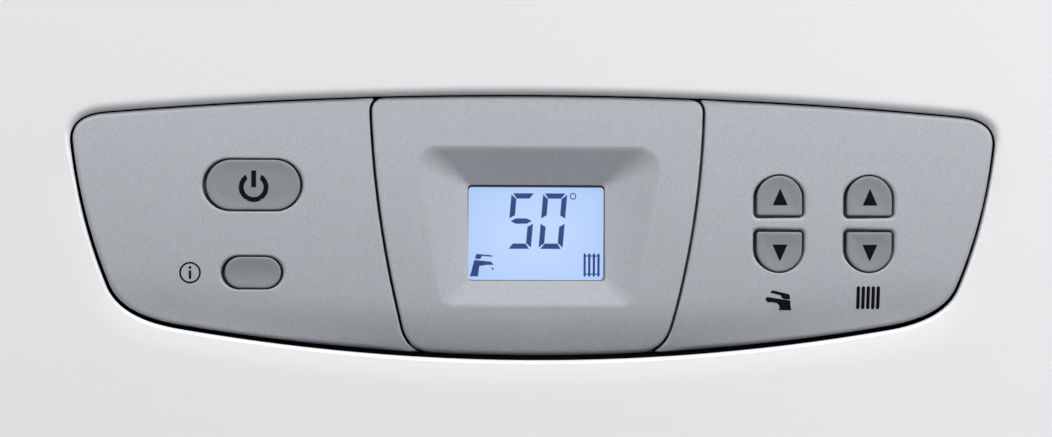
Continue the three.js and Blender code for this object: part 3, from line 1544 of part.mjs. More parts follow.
// Copper pipes between the exchanger, the manifolds and the pump
function flowPipe() {
  const x = exchangerX - portSpread;
  const y = -connectionDepth;
  return pipe([
    [x, y, exchangerZ - portDrop - seatGap], [x, y, crossingLevel], [flowX, y, crossingLevel],
    [flowX, y, flowManifoldTop + seatGap],
  ], heatingPipeRadius, bendRadius, 6);
}
function returnPipe() {
  const x = exchangerX + portSpread;
  const y = -connectionDepth;
  const pumpTop = pumpZ + pumpRadius + pumpPortLength + seatGap;
  return pipe([
    [returnX, y, pumpTop], [returnX, y, crossingLevel], [x, y, crossingLevel],
    [x, y, exchangerZ - portDrop - seatGap],
  ], heatingPipeRadius, bendRadius, 6);
}
function tailPipe(x, end) {
  const y = -plateBack - plateDepth / 2;
  return pipe([
    [x, y, plateLow - seatGap], [x, y, tailBendLevel], [x, -connectionDepth, tailBendLevel],
    [x, -connectionDepth, end],
  ], waterPipeRadius, bendRadius);
}
function hotWaterPipe() {
  const end = stubLevel - valveNutHeight - valveBodyHeight;
  const nut = hexZ(
    hotWaterPipeX, -connectionDepth, valveBodyRadius, end + valveNutHeight, end + 2 * valveNutHeight);
  const bore = rodZ(
    hotWaterPipeX, -connectionDepth, waterPipeRadius - sheet, end - overrun, end + valveBoreDepth);
  return cut(join(tailPipe(hotWaterPipeX, end), nut), bore);
}

// Diverter motor in front of the flow manifold
function diverterMotor() {
  const back = -connectionDepth - manifoldRadius - seatGap;
  const [left, right] = [flowX - diverterWidth / 2, flowX + diverterWidth / 2];
  const [low, high] = [diverterLevel - diverterHeight / 2, diverterLevel + diverterHeight / 2];
  return alongY(roundedBox(left, right, low, high, diverterCorner), back - diverterLength, back, cornerSteps);
}

// Condensate trap and the hose that feeds it from the drum
function condensateTrap() {
  const shoulder = trapRadius - trapNeck;
  const profile = [
    [0, stubLevel], [trapNeck, stubLevel], [trapNeck, trapBottom - shoulder], [trapRadius, trapBottom],
    [trapRadius, trapTop - trapNeckLength - shoulder], [trapNeck, trapTop - trapNeckLength],
    [trapNeck, trapTop], [0, trapTop],
  ];
  const bore = rodZ(
    trapX, -condensateDepth, trapNeck - exchangerWall, stubLevel - overrun, stubLevel + valveBoreDepth);
  return cut(turnedZ(profile, trapX, -condensateDepth, 20), bore);
}
function condensateHose() {
  return pipe([
    [exchangerX, -condensateDepth, exchangerZ - condensatePortDrop - seatGap],
    [exchangerX, -condensateDepth, hoseFall],
    [trapX, -condensateDepth, hoseLow],
    [trapX, -condensateDepth, trapTop + seatGap],
  ], hoseRadius, bendRadius);
}

// Pressure relief valve with its discharge pipe, and the knob that lifts it
function reliefValve() {
  const back = -connectionDepth - manifoldRadius - seatGap;
  const front = back - reliefLength;
  const y = -reliefOutletY();
  const outletX = returnX - reliefOutletSpread;
  const outlet = pipe([
    [returnX, y, reliefLevel], [outletX, y, reliefLevel], [outletX, y, stubLevel - valveNutHeight],
  ], waterPipeRadius, smallBend);
  const end = stubLevel - valveNutHeight;
  const bore = rodZ(outletX, y, waterPipeRadius - sheet, end - overrun, end + valveBoreDepth);
  const stem = rodY(returnX, reliefLevel, knobStem, front - knobLength / 2, front, coarseSteps);
  const body = rodY(returnX, reliefLevel, reliefRadius, front, back, mediumSteps);
  return cut(join(body, outlet, stem), bore);
}
function reliefKnob() {
  const back = -connectionDepth - manifoldRadius - reliefLength - 2 * seatGap;
  const front = back - knobLength;
  const flutes = Array.from({ length: knobFlutes }, (unused, k) => {
    const angle = (2 * Math.PI * k) / knobFlutes;
    const [x, z] = [returnX + knobRadius * Math.cos(angle), reliefLevel + knobRadius * Math.sin(angle)];
    return rodY(x, z, knobFluteRadius, front - overrun, back + overrun, 4);
  });
  const bore = rodY(
    returnX, reliefLevel, knobStem + seatGap, back - knobLength / 2 - seatGap, back + overrun, coarseSteps);
  return cut(rodY(returnX, reliefLevel, knobRadius, front, back, fineSteps), flutes, bore);
}

// Service valve: union nut, ball body with a front boss, and an outlet nut
function valveMiddle() {
  return stubLevel - seatGap - valveNutHeight - valveBodyHeight / 2;
}
function serviceValve(x) {
  const top = stubLevel - seatGap;
  const y = -connectionDepth;
  const bodyTop = top - valveNutHeight;
  const bodyLow = bodyTop - valveBodyHeight;
  const low = bodyLow - valveNutHeight;
  const bossFront = y - valveBossReach;
  const stemFront = bossFront - seatGap - leverHubThickness / 2;
  const bore = rodZ(x, y, valveBore, low - overrun, low + valveBoreDepth, coarseSteps);
  return cut(join(
    hexZ(x, y, valveNutRadius, bodyTop, top),
    rodZ(x, y, valveBodyRadius, bodyLow - overrun / 2, bodyTop + overrun / 2, coarseSteps),
    hexZ(x, y, valveNutRadius, low, bodyLow),
    rodY(x, valveMiddle(), valveBossRadius, bossFront, y, coarseSteps),
    rodY(x, valveMiddle(), leverStem, stemFront, y, coarseSteps),
  ), bore);
}
function coldWaterValve() {
  return join(serviceValve(coldWaterX), tailPipe(coldWaterX, stubLevel - valveNutHeight / 2));
}
function valveLever(x) {
  const back = -connectionDepth - valveBossReach - seatGap;
  const front = back - leverHubThickness;
  const z = valveMiddle();
  const blade = alongY(
    roundedBox(x - leverWidth / 2, x + leverWidth / 2, z - leverLength, z, leverWidth / 3),
    front, front + leverThickness, cornerSteps);
  const bore = rodY(x, z, leverStem + seatGap, front + leverThickness, back + overrun, coarseSteps);
  return cut(join(rodY(x, z, leverHubRadius, front, back, coarseSteps), blade), bore);
}

// Assembly, casing
piece("back_plate", backPlate(), zincSheet);
piece("side_panel_left", sidePanel(-1), whitePaint);
piece("side_panel_right", sidePanel(1), whitePaint);
piece("top_plate", topPlate(), whitePaint);
piece("bottom_plate", bottomPlate(), zincSheet);
piece("hinge_crossmember", hingeCrossmember(), zincSheet);
piece("front_cover", frontCover(), whitePaint);

// Assembly, control panel
piece("fascia_left", wing(-1, ["power_button", "info_button"]), greyMoulding);
piece("fascia_centre", fasciaCentre(), greyMoulding);
const rightNames = Object.keys(buttons).filter((name) => buttons[name].x > 0);
piece("fascia_right", wing(1, rightNames), greyMoulding);
piece("display_window", displayWindow(), clearWindow);
piece("lcd_module", lcdModule(), backlight);
piece("display_board", displayBoard(), boardGreen);
piece("main_board", mainBoard(), boardGreen);
piece("control_tray", controlTray(), blackPlastic);
for (const [name, button] of Object.entries(buttons)) piece(name, buttonPiece(button), buttonGrey);

// Assembly, combustion
piece("flue_collar", flueCollar(), whitePlastic);
piece("flue_outlet_pipe", flueOutletPipe(), whitePlastic);
piece("heat_exchanger_shell", exchangerShell(), stainless);
piece("exchanger_coil", exchangerCoil(), stainless);
piece("burner_door", burnerDoor(), castAlloy);
piece("burner_tube", burnerTube(), stainless);
piece("ignition_electrode", ignitionElectrode(), ceramicWhite);
piece("fan_housing", fanHousing(), castAlloy);
piece("fan_impeller", fanImpeller(), blackPlastic);
piece("fan_motor", fanMotor(), blackPlastic);
piece("venturi_mixer", venturiMixer(), castAlloy);
piece("air_silencer", airSilencer(), blackPlastic);
piece("gas_valve", gasValve(), castAlloy);
piece("gas_pipe", gasPipe(), copper);

// Assembly, water
piece("expansion_vessel", expansionVessel(), vesselPaint);
piece("vessel_pipe", vesselPipe(), copper);
piece("flow_pipe", flowPipe(), copper);
piece("return_pipe", returnPipe(), copper);
piece("flow_manifold", manifold(flowX, flowManifoldTop), brass);
piece("return_manifold", manifold(returnX, manifoldTop - seatGap), brass);
piece("plate_heat_exchanger", plateExchanger(), stainless);
piece("diverter_motor", diverterMotor(), blackPlastic);
piece("pump_body", pumpBody(), castIron);
piece("pump_impeller", pumpImpeller(), whitePlastic);
piece("pump_motor", pumpMotor(), castAlloy);
piece("air_vent", airVent(), brass);
piece("condensate_trap", condensateTrap(), whitePlastic);
piece("condensate_hose", condensateHose(), greyRubber);
piece("pressure_relief_valve", reliefValve(), brass);
piece("relief_valve_knob", reliefKnob(), redPlastic);
piece("hot_water_pipe", hotWaterPipe(), copper);

// Assembly, service valves
const valves = { heating_flow: flowX, gas_service: gasX, cold_water: coldWaterX, heating_return: returnX };
for (const [name, x] of Object.entries(valves)) {
  piece(`${name}_valve`, name === "cold_water" ? coldWaterValve() : serviceValve(x), brass);
  piece(`${name}_lever`, valveLever(x), redPlastic);
}

export default boiler;
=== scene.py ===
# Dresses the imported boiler: finer panel, cover, buttons and fittings, their materials, light and camera.
import json
import math

import bmesh
import bpy
from mathutils import Matrix, Vector
from mathutils.geometry import delaunay_2d_cdt


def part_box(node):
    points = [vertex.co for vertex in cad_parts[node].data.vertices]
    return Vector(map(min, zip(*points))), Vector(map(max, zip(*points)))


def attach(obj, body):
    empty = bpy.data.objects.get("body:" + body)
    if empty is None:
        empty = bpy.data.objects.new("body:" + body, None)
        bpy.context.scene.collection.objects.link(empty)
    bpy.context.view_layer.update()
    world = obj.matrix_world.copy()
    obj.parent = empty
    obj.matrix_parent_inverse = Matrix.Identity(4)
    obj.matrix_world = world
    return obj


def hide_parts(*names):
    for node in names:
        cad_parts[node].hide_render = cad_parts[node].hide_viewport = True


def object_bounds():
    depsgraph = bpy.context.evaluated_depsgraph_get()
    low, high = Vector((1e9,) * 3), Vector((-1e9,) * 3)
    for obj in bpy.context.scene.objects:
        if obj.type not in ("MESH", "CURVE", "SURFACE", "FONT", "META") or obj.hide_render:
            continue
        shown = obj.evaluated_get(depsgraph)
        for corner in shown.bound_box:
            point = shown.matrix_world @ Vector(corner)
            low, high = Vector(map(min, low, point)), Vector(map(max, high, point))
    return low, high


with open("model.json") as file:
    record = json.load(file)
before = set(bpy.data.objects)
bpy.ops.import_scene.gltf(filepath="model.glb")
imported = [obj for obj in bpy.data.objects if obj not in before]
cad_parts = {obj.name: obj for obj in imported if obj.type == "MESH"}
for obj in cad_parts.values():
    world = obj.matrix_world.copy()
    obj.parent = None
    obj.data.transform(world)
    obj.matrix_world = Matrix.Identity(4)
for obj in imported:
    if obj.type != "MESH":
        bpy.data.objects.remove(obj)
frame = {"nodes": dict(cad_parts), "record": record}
cad_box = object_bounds()

# Lengths are in millimetres, as in the part's own source, and become metres in build().
MM = 0.001

# Casing
CASE_WIDTH = 440.0
CASE_HEIGHT = 770.0
CASE_DEPTH = 340.0
SIDE_DEPTH = 290.0
SHEET = 1.5
SEAT_GAP = 0.3
BOW_RADIUS = 2500.0
COVER_CORNER = 10.0
COVER_EDGE = 3.0
SEAM_ROUND = 0.9

# Control panel
PANEL_HALF = 160.0
PANEL_HEIGHT = 89.7
PANEL_LEVEL = -284.3
LOW_GAP = 1.45
SIDE_GAP = 1.0
TOP_GAP = 0.5
PANEL_RIM = 11.0
RIM_WALL = 1.6
DOME_RADIUS = 330.0
TIP_WIDTH = 0.3
TOP_DROP = 6.5
LOW_RISE = 10.2
EDGE_ROUND = 1.6
TOP_LIP_ROUND = 3.4
SIDE_LIP_ROUND = 1.5
FLARE = 0.7
FLARE_REACH = 9.0
SPLIT_ROUND = 0.8
SPLIT_GAP = 0.95
CHIN_HEIGHT = 18.0
CHIN_DROP = 5.0
CHIN_WING = (50.0, 60.0)
HINGE_NOTCH = (12.0, 38.6, 46.0)
FACE_GRID = 4.0

# Centre section
CENTRE_LOW = 43.6
CENTRE_HIGH = 57.5
CENTRE_BULGE = 3.0
CENTRE_TOP_ROUND = 5.0
CENTRE_LOW_ROUND = 8.0
RECESS_DEPTH = 9.0
RECESS_TOP = (42.0, 72.0, 7.5)
RECESS_LOW = (34.0, 17.5, 5.0)
RECESS_STEP = 5.0
RECESS_CURVE = 0.14
RECESS_SHARES = (0.35, 0.6, 0.85, 0.985, 1.0)
WINDOW_HALF = 23.85
WINDOW_TOP = 59.1
WINDOW_LOW = 25.9
WINDOW_ROUND = 1.4
RECESS_SOFT = 0.7

# Finer copies: the angles in degrees above which an edge counts as sharp, the widest turn of a curve in
# radians, the smallest moves in metres, and how many times larger than the least a face has to be to lead
FACET_LIMITS = (50, 31.25)
WIDEST_TURN = 0.7
LEAST_BULGE = 5e-6
FLAT_WITHIN = 4e-6
NEARLY_EVEN = 2.5
UNEVEN = 6
BROKEN_EDGE = 0.3
HINGE_ARM = ((39.0, 44.0), (-324.0, -314.5), (-268.5, -264.8))
HINGE_DRAW = 2.2

# Tray behind the panel, and the rear sheet
TRAY_TOP = -208.0
TRAY_HALF = 126.0
TRAY_DEPTHS = (-327.0, -306.2)
RIB_PITCH = 24.0
RIB_PROFILE = ((0, -0.2), (0, 0.4), (0.18, 0.82), (0.6, 1.0))
SCREW_REACH = 108.0
SCREW_PROFILE = ((3.4, -0.2), (3.4, 0.5), (3.1, 1.0), (2.4, 1.35), (1.35, 1.5), (1.3, 0.6))
HOOK_SLOT = (120.0, 40.0, 341.2, 353.2)
PRESSED = ((-345.0, -12.0), (12.0, 300.0))
PRESSED_HALF = 165.0
PRESSED_PROFILE = ((0, 0), (0.8, 0.08), (2.2, 0.45), (3.6, 0.82), (4.4, 0.9))

# Buttons
LEFT_X = -98.1
POWER = (32.2, 17.2, 58.7)
INFO = (19.2, 10.7, 28.6)
D_WIDTH = 15.8
D_HEIGHT = 13.8
D_CORNER = 0.9
D_COLUMNS = (84.1, 115.8)
UP_LEVEL = 55.8
DOWN_LEVEL = 36.3
BUTTON_PROUD = 0.3
BUTTON_GAP = 0.45
LEFT_GAP = 0.75
RIGHT_GAP = 0.35
END_ROUND = 0.9
CAP_ROUND = 0.55
CAP_DISH = (0.4, 2.6, 3.4)
CAP_GRID = 1.3
COLLAR = (1.6, 6.0, 7.0)
STEM_RADIUS = 2.0

# Outline points of the panel as shares of its half width and height
SHARES = {
    "low_end": (0.7625, 0.1137),
    "low_point": (0.893, 0.149),
    "low_start": (0.92, 0.274),
    "side_pull": (0.98, 0.53),
    "top_end": (0.999, 0.817),
    "top_point": (1.005, 0.915),
    "top_start": (0.928, 0.9275),
}


# -------- materials
def srgb(red, green, blue):
    """A colour given as it looks on the screen, 0 to 255, in the linear values that the shader takes."""
    def linear(value):
        value /= 255
        return value / 12.92 if value <= 0.04045 else ((value + 0.055) / 1.055) ** 2.4

    return (linear(red), linear(green), linear(blue), 1.0)


def shade(colour, factor):
    return (colour[0] * factor, colour[1] * factor, colour[2] * factor, 1.0)


class Nodes:
    """Adds shader nodes. An input takes a value, or another node's output, which is linked to it."""

    def __init__(self, owner):
        owner.use_nodes = True
        self.tree = owner.node_tree

    def put(self, node, values, inputs):
        for key, value in [*enumerate(values), *inputs.items()]:
            socket = node.inputs[key if isinstance(key, int) else key.replace("_", " ")]
            if isinstance(value, bpy.types.NodeSocket):
                self.tree.links.new(value, socket)
            else:
                socket.default_value = value

    def own(self, name, *values, **inputs):
        """Sets inputs of a node that is there from the start."""
        self.put(self.tree.nodes[name], values, inputs)

    def add(self, kind, result, *values, **inputs):
        """The named output of a new node. Values go to its first inputs in turn, the others go by name."""
        node = self.tree.nodes.new("ShaderNode" + kind)
        self.put(node, values, inputs)
        return node.outputs[result]

    def ramp(self, value, low, high, start=0.0, end=1.0, shape="LINEAR"):
        node = self.tree.nodes.new("ShaderNodeValToRGB")
        node.color_ramp.interpolation = shape
        for element, place, colour in zip(node.color_ramp.elements, (start, end), (low, high)):
            element.position, element.color = place, colour
        self.tree.links.new(value, node.inputs["Fac"])
        return node.outputs["Color"]


def material(name, colour, roughness=0.4, metallic=0.0, grain=0.0, grain_scale=2500.0, drift=0.04,
             drift_scale=9.0, smear=0.06, stretch=(1, 1, 1), speckle=0.0, **sockets):
    """A finish with slow drift in colour, patchy roughness, a fine grain and fine specks of light and dark."""
    mat = bpy.data.materials.new(name)
    nodes = Nodes(mat)
    place = nodes.add("Mapping", "Vector", nodes.add("TexCoord", "Object"), Scale=stretch)
    slow = nodes.add("TexNoise", "Fac", place, Scale=drift_scale, Detail=4)
    shown = nodes.ramp(slow, shade(colour, 1 - drift), shade(colour, 1 + drift), 0.2, 0.8, "EASE")
    if speckle:
        specks = nodes.add("TexNoise", "Fac", place, Scale=grain_scale, Detail=1)
        spread = nodes.add("MapRange", "Result", specks, To_Min=1 - speckle, To_Max=1 + speckle)
        shown = nodes.add("HueSaturation", "Color", Value=spread, Color=shown)
    patch = nodes.add("MapRange", "Result", slow, To_Min=max(0.02, roughness - smear),
                      To_Max=min(1.0, roughness + smear))
    nodes.own("Principled BSDF", Metallic=metallic, Base_Color=shown, Roughness=patch, **sockets)
    if grain:
        bumps = nodes.add("TexNoise", "Fac", place, Scale=grain_scale, Detail=2)
        bump = nodes.add("Bump", "Normal", Strength=grain, Distance=0.0001, Height=bumps)
        nodes.own("Principled BSDF", Normal=bump)
    return mat


def display_glow():
    """The backlight: a little brighter in the middle than along its edges."""
    mat = bpy.data.materials.new("display_backlight")
    nodes = Nodes(mat)
    centred = nodes.add("Mapping", "Vector", nodes.add("TexCoord", "Object"),
                        Location=(0, 0, -(PANEL_LEVEL + WINDOW_LOW + 16) * MM))
    ball = nodes.add("TexGradient", "Fac", nodes.add("Mapping", "Vector", centred, Scale=(28, 0, 38)))
    ball.node.gradient_type = "SPHERICAL"
    nodes.own("Principled BSDF", Base_Color=srgb(20, 24, 30), Roughness=0.35, Specular_IOR_Level=0.0,
              Emission_Color=nodes.ramp(ball, srgb(172, 201, 252), srgb(189, 215, 255), end=0.7),
              Emission_Strength=1.0)
    return mat


# The record's finishes, by slot
FINISHES = {
    "casing_white": material("white_enamel", srgb(232, 232, 234), 0.3, drift=0.006, drift_scale=4.0,
                             smear=0.03, grain=0.05, grain_scale=260, Coat_Weight=0.25, Coat_Roughness=0.12),
    "zinc_sheet": material("zinc_sheet", srgb(180, 184, 188), 0.42, 0.85, drift=0.1, drift_scale=60, grain=0.12,
                           grain_scale=500),
    "panel_grey": material("grey_moulding", srgb(170, 173, 178), 0.5, drift=0.012, grain=0.8, grain_scale=2000,
                           speckle=0.22, Specular_IOR_Level=0.3),
    "button_grey": material("button_moulding", srgb(134, 138, 142), 0.45, drift=0.012, grain=0.3,
                            grain_scale=2600, Specular_IOR_Level=0.25),
    "window_clear": material("clear_window", srgb(216, 226, 236), 0.06, drift=0.01, smear=0.02, Alpha=0.03,
                             Specular_IOR_Level=0.15),
    "display_light": display_glow(),
    "board_green": material("circuit_board", srgb(40, 96, 62), 0.4, drift=0.15, drift_scale=300, grain=0.1),
    "black_plastic": material("black_moulding", srgb(36, 37, 40), 0.5, drift=0.06, grain=0.25,
                              Specular_IOR_Level=0.3),
    "white_plastic": material("white_moulding", srgb(222, 222, 217), 0.42, drift=0.02, grain=0.15),
    "stainless": material("stainless", srgb(196, 198, 200), 0.3, 0.95, drift=0.05, grain=0.15, grain_scale=900,
                          stretch=(1, 1, 8)),
    "cast_alloy": material("cast_alloy", srgb(168, 171, 175), 0.55, 0.8, drift=0.08, grain=0.6,
                           grain_scale=1100),
    "ceramic_white": material("ceramic", srgb(232, 228, 218), 0.5, drift=0.03, grain=0.2),
    "copper": material("copper", srgb(190, 122, 84), 0.3, 0.95, drift=0.14, drift_scale=30, grain=0.1),
    "vessel_grey": material("grey_primer", srgb(150, 154, 158), 0.5, 0.1, drift=0.05, grain=0.3,
                            grain_scale=700),
    "brass": material("brass", srgb(196, 166, 96), 0.34, 0.95, drift=0.08, drift_scale=40, grain=0.15),
    "cast_iron": material("dark_casting", srgb(64, 66, 70), 0.62, 0.4, drift=0.1, grain=0.8, grain_scale=900),
    "hose_grey": material("grey_hose", srgb(84, 86, 88), 0.7, drift=0.06, grain=0.3),
    "red_plastic": material("red_moulding", srgb(168, 48, 40), 0.42, drift=0.04, grain=0.2),
}
PRINT = material("black_print", srgb(14, 14, 16), 0.7, drift=0.05, grain=0.1, Specular_IOR_Level=0.05)
INK = material("display_ink", srgb(4, 10, 30), 0.6, drift=0.03, Specular_IOR_Level=0.0,
               Emission_Color=srgb(20, 54, 130), Emission_Strength=0.9)
# Near-black, dull finish of the strip behind the opening's edge, which is painted shade in the gap round the
# panel
GAP_SHADE = material("black_foam", srgb(18, 18, 19), 0.95, drift=0.2, drift_scale=400, grain=0.9, grain_scale=700,
                Specular_IOR_Level=0.1)


# -------- outlines, as lists of (x, z)
def share(value):
    """A value held between nought and one."""
    return max(0.0, min(1.0, value))


def bow(x):
    return BOW_RADIUS - math.sqrt(BOW_RADIUS ** 2 - x * x)


def front_y(x, z=0.0, depth=0.0):
    """The cover's plain bowed face."""
    return -CASE_DEPTH + bow(x) + depth


def quadratic(start, pull, end, steps):
    points = []
    for k in range(steps):
        t = k / steps
        points.append(tuple((1 - t) ** 2 * a + 2 * t * (1 - t) * b + t * t * c
                            for a, b, c in zip(start, pull, end)))
    return points


def chain(curves, steps):
    """Points along quadratic curves of (start, pull, end, how many times the steps)."""
    points = []
    for start, pull, end, times in curves:
        points += quadratic(start, pull, end, times * steps)
    return [(x, z + PANEL_LEVEL) for x, z in points]


def panel_outline(steps=26):
    right = {name: (x * PANEL_HALF, z * PANEL_HEIGHT) for name, (x, z) in SHARES.items()}
    left = {name: (-x, z) for name, (x, z) in right.items()}
    return chain([
        (left["low_end"], (0, -LOW_RISE), right["low_end"], 3),
        (right["low_end"], right["low_point"], right["low_start"], 1),
        (right["low_start"], right["side_pull"], right["top_end"], 1),
        (right["top_end"], right["top_point"], right["top_start"], 1),
        (right["top_start"], (0, PANEL_HEIGHT + TOP_DROP), left["top_start"], 3),
        (left["top_start"], left["top_point"], left["top_end"], 1),
        (left["top_end"], left["side_pull"], left["low_start"], 1),
        (left["low_start"], left["low_point"], left["low_end"], 1),
    ], steps)


def top_edge(x):
    return PANEL_HEIGHT - TOP_DROP * (x / (SHARES["top_start"][0] * PANEL_HALF)) ** 2


def low_edge(x):
    return LOW_RISE * (x / (SHARES["low_end"][0] * PANEL_HALF)) ** 2


def centre_half(level):
    t = level / PANEL_HEIGHT
    return CENTRE_LOW + (CENTRE_HIGH - CENTRE_LOW) * t + 4 * CENTRE_BULGE * t * (1 - t)


def centre_outline(steps=10):
    low = (centre_half(0), low_edge(CENTRE_LOW))
    top = (CENTRE_HIGH, top_edge(CENTRE_HIGH))
    low_start, top_start = low[0] - CENTRE_LOW_ROUND, top[0] - CENTRE_TOP_ROUND
    low_tip, top_tip = (low_start, low_edge(low_start)), (top_start, top_edge(top_start))
    side_low, side_top = low[1] + CENTRE_LOW_ROUND, top[1] - CENTRE_TOP_ROUND
    right_low, right_top = (centre_half(side_low), side_low), (centre_half(side_top), side_top)
    middle = (side_low + side_top) / 2
    pull = (2 * centre_half(middle) - (right_low[0] + right_top[0]) / 2, middle)
    turns = [(low_tip, low, right_low, 1), (right_low, pull, right_top, 4), (right_top, top, top_tip, 1)]
    back = [tuple((-x, z) for x, z in turn[2::-1]) + turn[3:] for turn in reversed(turns)]
    return chain([(back[-1][2], (0, -low_tip[1]), low_tip, 4), *turns,
                  (top_tip, (0, 2 * PANEL_HEIGHT - top_tip[1]), back[0][0], 4), *back], steps)


def circle(x, z, radius, steps):
    return arc(x, z, radius, 0, 2 * math.pi, steps)[:-1]


def arc(x, z, radius, start, end, steps):
    return [(x + radius * math.cos(start + (end - start) * k / steps),
             z + radius * math.sin(start + (end - start) * k / steps)) for k in range(steps + 1)]


def soft_trapezoid(low, top, steps=8):
    """Low and top are (half width, level, corner radius)."""
    points = []
    turns = ((-1, 1, 1, low), (0, 1, -1, top), (1, -1, -1, top), (2, -1, 1, low))
    for quarter, side, up, (half, level, radius) in turns:
        centre = (side * (half - radius), level + up * radius + PANEL_LEVEL)
        points += arc(*centre, radius, quarter * math.pi / 2, (quarter + 1) * math.pi / 2, steps)
    return points


def window_outline():
    return soft_trapezoid((WINDOW_HALF, WINDOW_LOW, WINDOW_ROUND), (WINDOW_HALF, WINDOW_TOP, WINDOW_ROUND))


def stadium(x, level, width, height, steps=20):
    radius = height / 2
    reach = width / 2 - radius
    z = level + PANEL_LEVEL
    return (arc(x + reach, z, radius, -math.pi / 2, math.pi / 2, steps)
            + arc(x - reach, z, radius, math.pi / 2, 1.5 * math.pi, steps))


def d_shape(x, level, up, steps=36):
    radius = D_WIDTH / 2
    flat, centre = -D_HEIGHT / 2, D_HEIGHT / 2 - radius
    inner = radius - D_CORNER
    points = arc(-inner, flat + D_CORNER, D_CORNER, math.pi, 1.5 * math.pi, 5)
    points += arc(inner, flat + D_CORNER, D_CORNER, 1.5 * math.pi, 2 * math.pi, 5)
    points += arc(0, centre, radius, 0, math.pi, steps)
    side = 1 if up else -1
    return [(x + side * u, side * v + level + PANEL_LEVEL) for u, v in points]


def grown(outline, distance):
    """Moves a closed anticlockwise outline outwards. The distance may be one number or one for each point."""
    count = len(outline)
    spread = distance if isinstance(distance, list) else [distance] * count
    moved = []
    for i, (x, z) in enumerate(outline):
        before, after = outline[i - 1], outline[(i + 1) % count]
        first = Vector((x - before[0], z - before[1])).normalized()
        second = Vector((after[0] - x, after[1] - z)).normalized()
        normal = Vector((first.y + second.y, -first.x - second.x)).normalized()
        along = max(0.5, normal.x * first.y - normal.y * first.x)
        moved.append((x + normal.x * spread[i] / along, z + normal.y * spread[i] / along))
    return moved


def inside(point, outline):
    x, z = point
    hit = False
    for (x1, z1), (x2, z2) in zip(outline, outline[1:] + outline[:1]):
        if (z1 > z) != (z2 > z) and x < (x2 - x1) * (z - z1) / (z2 - z1) + x1:
            hit = not hit
    return hit


def reach_to(point, outline):
    """How far a point is from an outline."""
    best = 1e9
    for (x1, z1), (x2, z2) in zip(outline, outline[1:] + outline[:1]):
        ux, uz = x2 - x1, z2 - z1
        length = ux * ux + uz * uz or 1e-12
        t = max(0.0, min(1.0, ((point[0] - x1) * ux + (point[1] - z1) * uz) / length))
        best = min(best, math.hypot(point[0] - x1 - t * ux, point[1] - z1 - t * uz))
    return best


# -------- mesh building
class Sheet:
    """Collects points and faces. Points are (x, y, z) in millimetres."""

    def __init__(self):
        self.points = []
        self.faces = []

    def ring(self, points):
        first = len(self.points)
        self.points += points
        return list(range(first, first + len(points)))

    def band(self, one, other, closed=True):
        count = len(one)
        for i in range(count if closed else count - 1):
            j = (i + 1) % count
            self.faces.append((one[i], one[j], other[j], other[i]))

    def loft(self, rows, closed=True, caps=()):
        """A ring for each row of points, and bands between them. Caps names the rings that get a face."""
        rings = [self.ring(row) for row in rows]
        for one, other in zip(rings, rings[1:]):
            self.band(one, other, closed)
        self.faces += [tuple(rings[k]) for k in caps]
        return rings

    def across(self, ring):
        """Strips from one end of a ring to the other, for a ring that starts and ends on a straight line."""
        count = len(ring)
        for i in range(count // 2):
            corners = [ring[i], ring[i + 1], ring[count - 2 - i], ring[count - 1 - i]]
            self.faces.append(tuple(dict.fromkeys(corners)))

    def fill(self, outer, holes, spacing, lift):
        """Triangles between rings of known points, with new points on a grid in between."""
        rings = [outer, *holes]
        outlines = [[(self.points[i][0], self.points[i][2]) for i in ring] for ring in rings]
        known = [i for ring in rings for i in ring]
        place = [Vector(p) for outline in outlines for p in outline]
        edges = []
        for ring in rings:
            first = len(edges)
            edges += [(first + k, first + (k + 1) % len(ring)) for k in range(len(ring))]

        def within(spot):
            return inside(spot, outlines[0]) and not any(inside(spot, hole) for hole in outlines[1:])

        def add(x, z):
            known.append(len(self.points))
            self.points.append((x, lift(x, z), z))

        xs, zs = zip(*outlines[0])
        low_x, low_z, wide, high = min(xs), min(zs), max(xs) - min(xs), max(zs) - min(zs)
        columns, rows = int(wide / spacing) + 1, int(high / spacing) + 1
        for i in range(1, columns):
            for j in range(1, rows):
                spot = (low_x + i * wide / columns, low_z + j * high / rows)
                if within(spot) and all(reach_to(spot, outline) >= spacing * 0.4 for outline in outlines):
                    place.append(Vector(spot))
                    add(*spot)
        found, unused, faces, origin, *rest = delaunay_2d_cdt(place, edges, [], 0, 1e-5, True)
        for v, spot in enumerate(found):
            if not origin[v]:
                origin[v].append(len(known))
                add(*spot)
        for face in faces:
            if within(sum((found[v] for v in face), Vector((0, 0))) / len(face)):
                self.faces.append(tuple(known[origin[v][0]] for v in face))


def build(name, sheet, body, slot, mat=None, sharp=40, replaces=()):
    """Makes an object of a sheet, with faces turned outwards and edges kept sharp above an angle."""
    mesh = bpy.data.meshes.new(name)
    mesh.from_pydata([Vector(p) * MM for p in sheet.points], [], sheet.faces)
    return finish_piece(name, mesh, body, slot, mat, sharp, replaces)


def finish_piece(name, mesh, body, slot, mat=None, sharp=40, replaces=()):
    work = bmesh.new()
    work.from_mesh(mesh)
    bmesh.ops.remove_doubles(work, verts=work.verts, dist=2e-6)
    bmesh.ops.recalc_face_normals(work, faces=work.faces)
    work.to_mesh(mesh)
    work.free()
    mesh.shade_smooth()
    mesh.set_sharp_from_angle(angle=math.radians(sharp))
    mesh.materials.append(mat or FINISHES[slot])
    piece = bpy.data.objects.new(name, mesh)
    bpy.context.scene.collection.objects.link(piece)
    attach(piece, body)
    for node in replaces:
        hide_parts(node)
    return piece


# -------- control panel
PANEL = panel_outline()
SEAM = grown(centre_outline(), SPLIT_GAP)


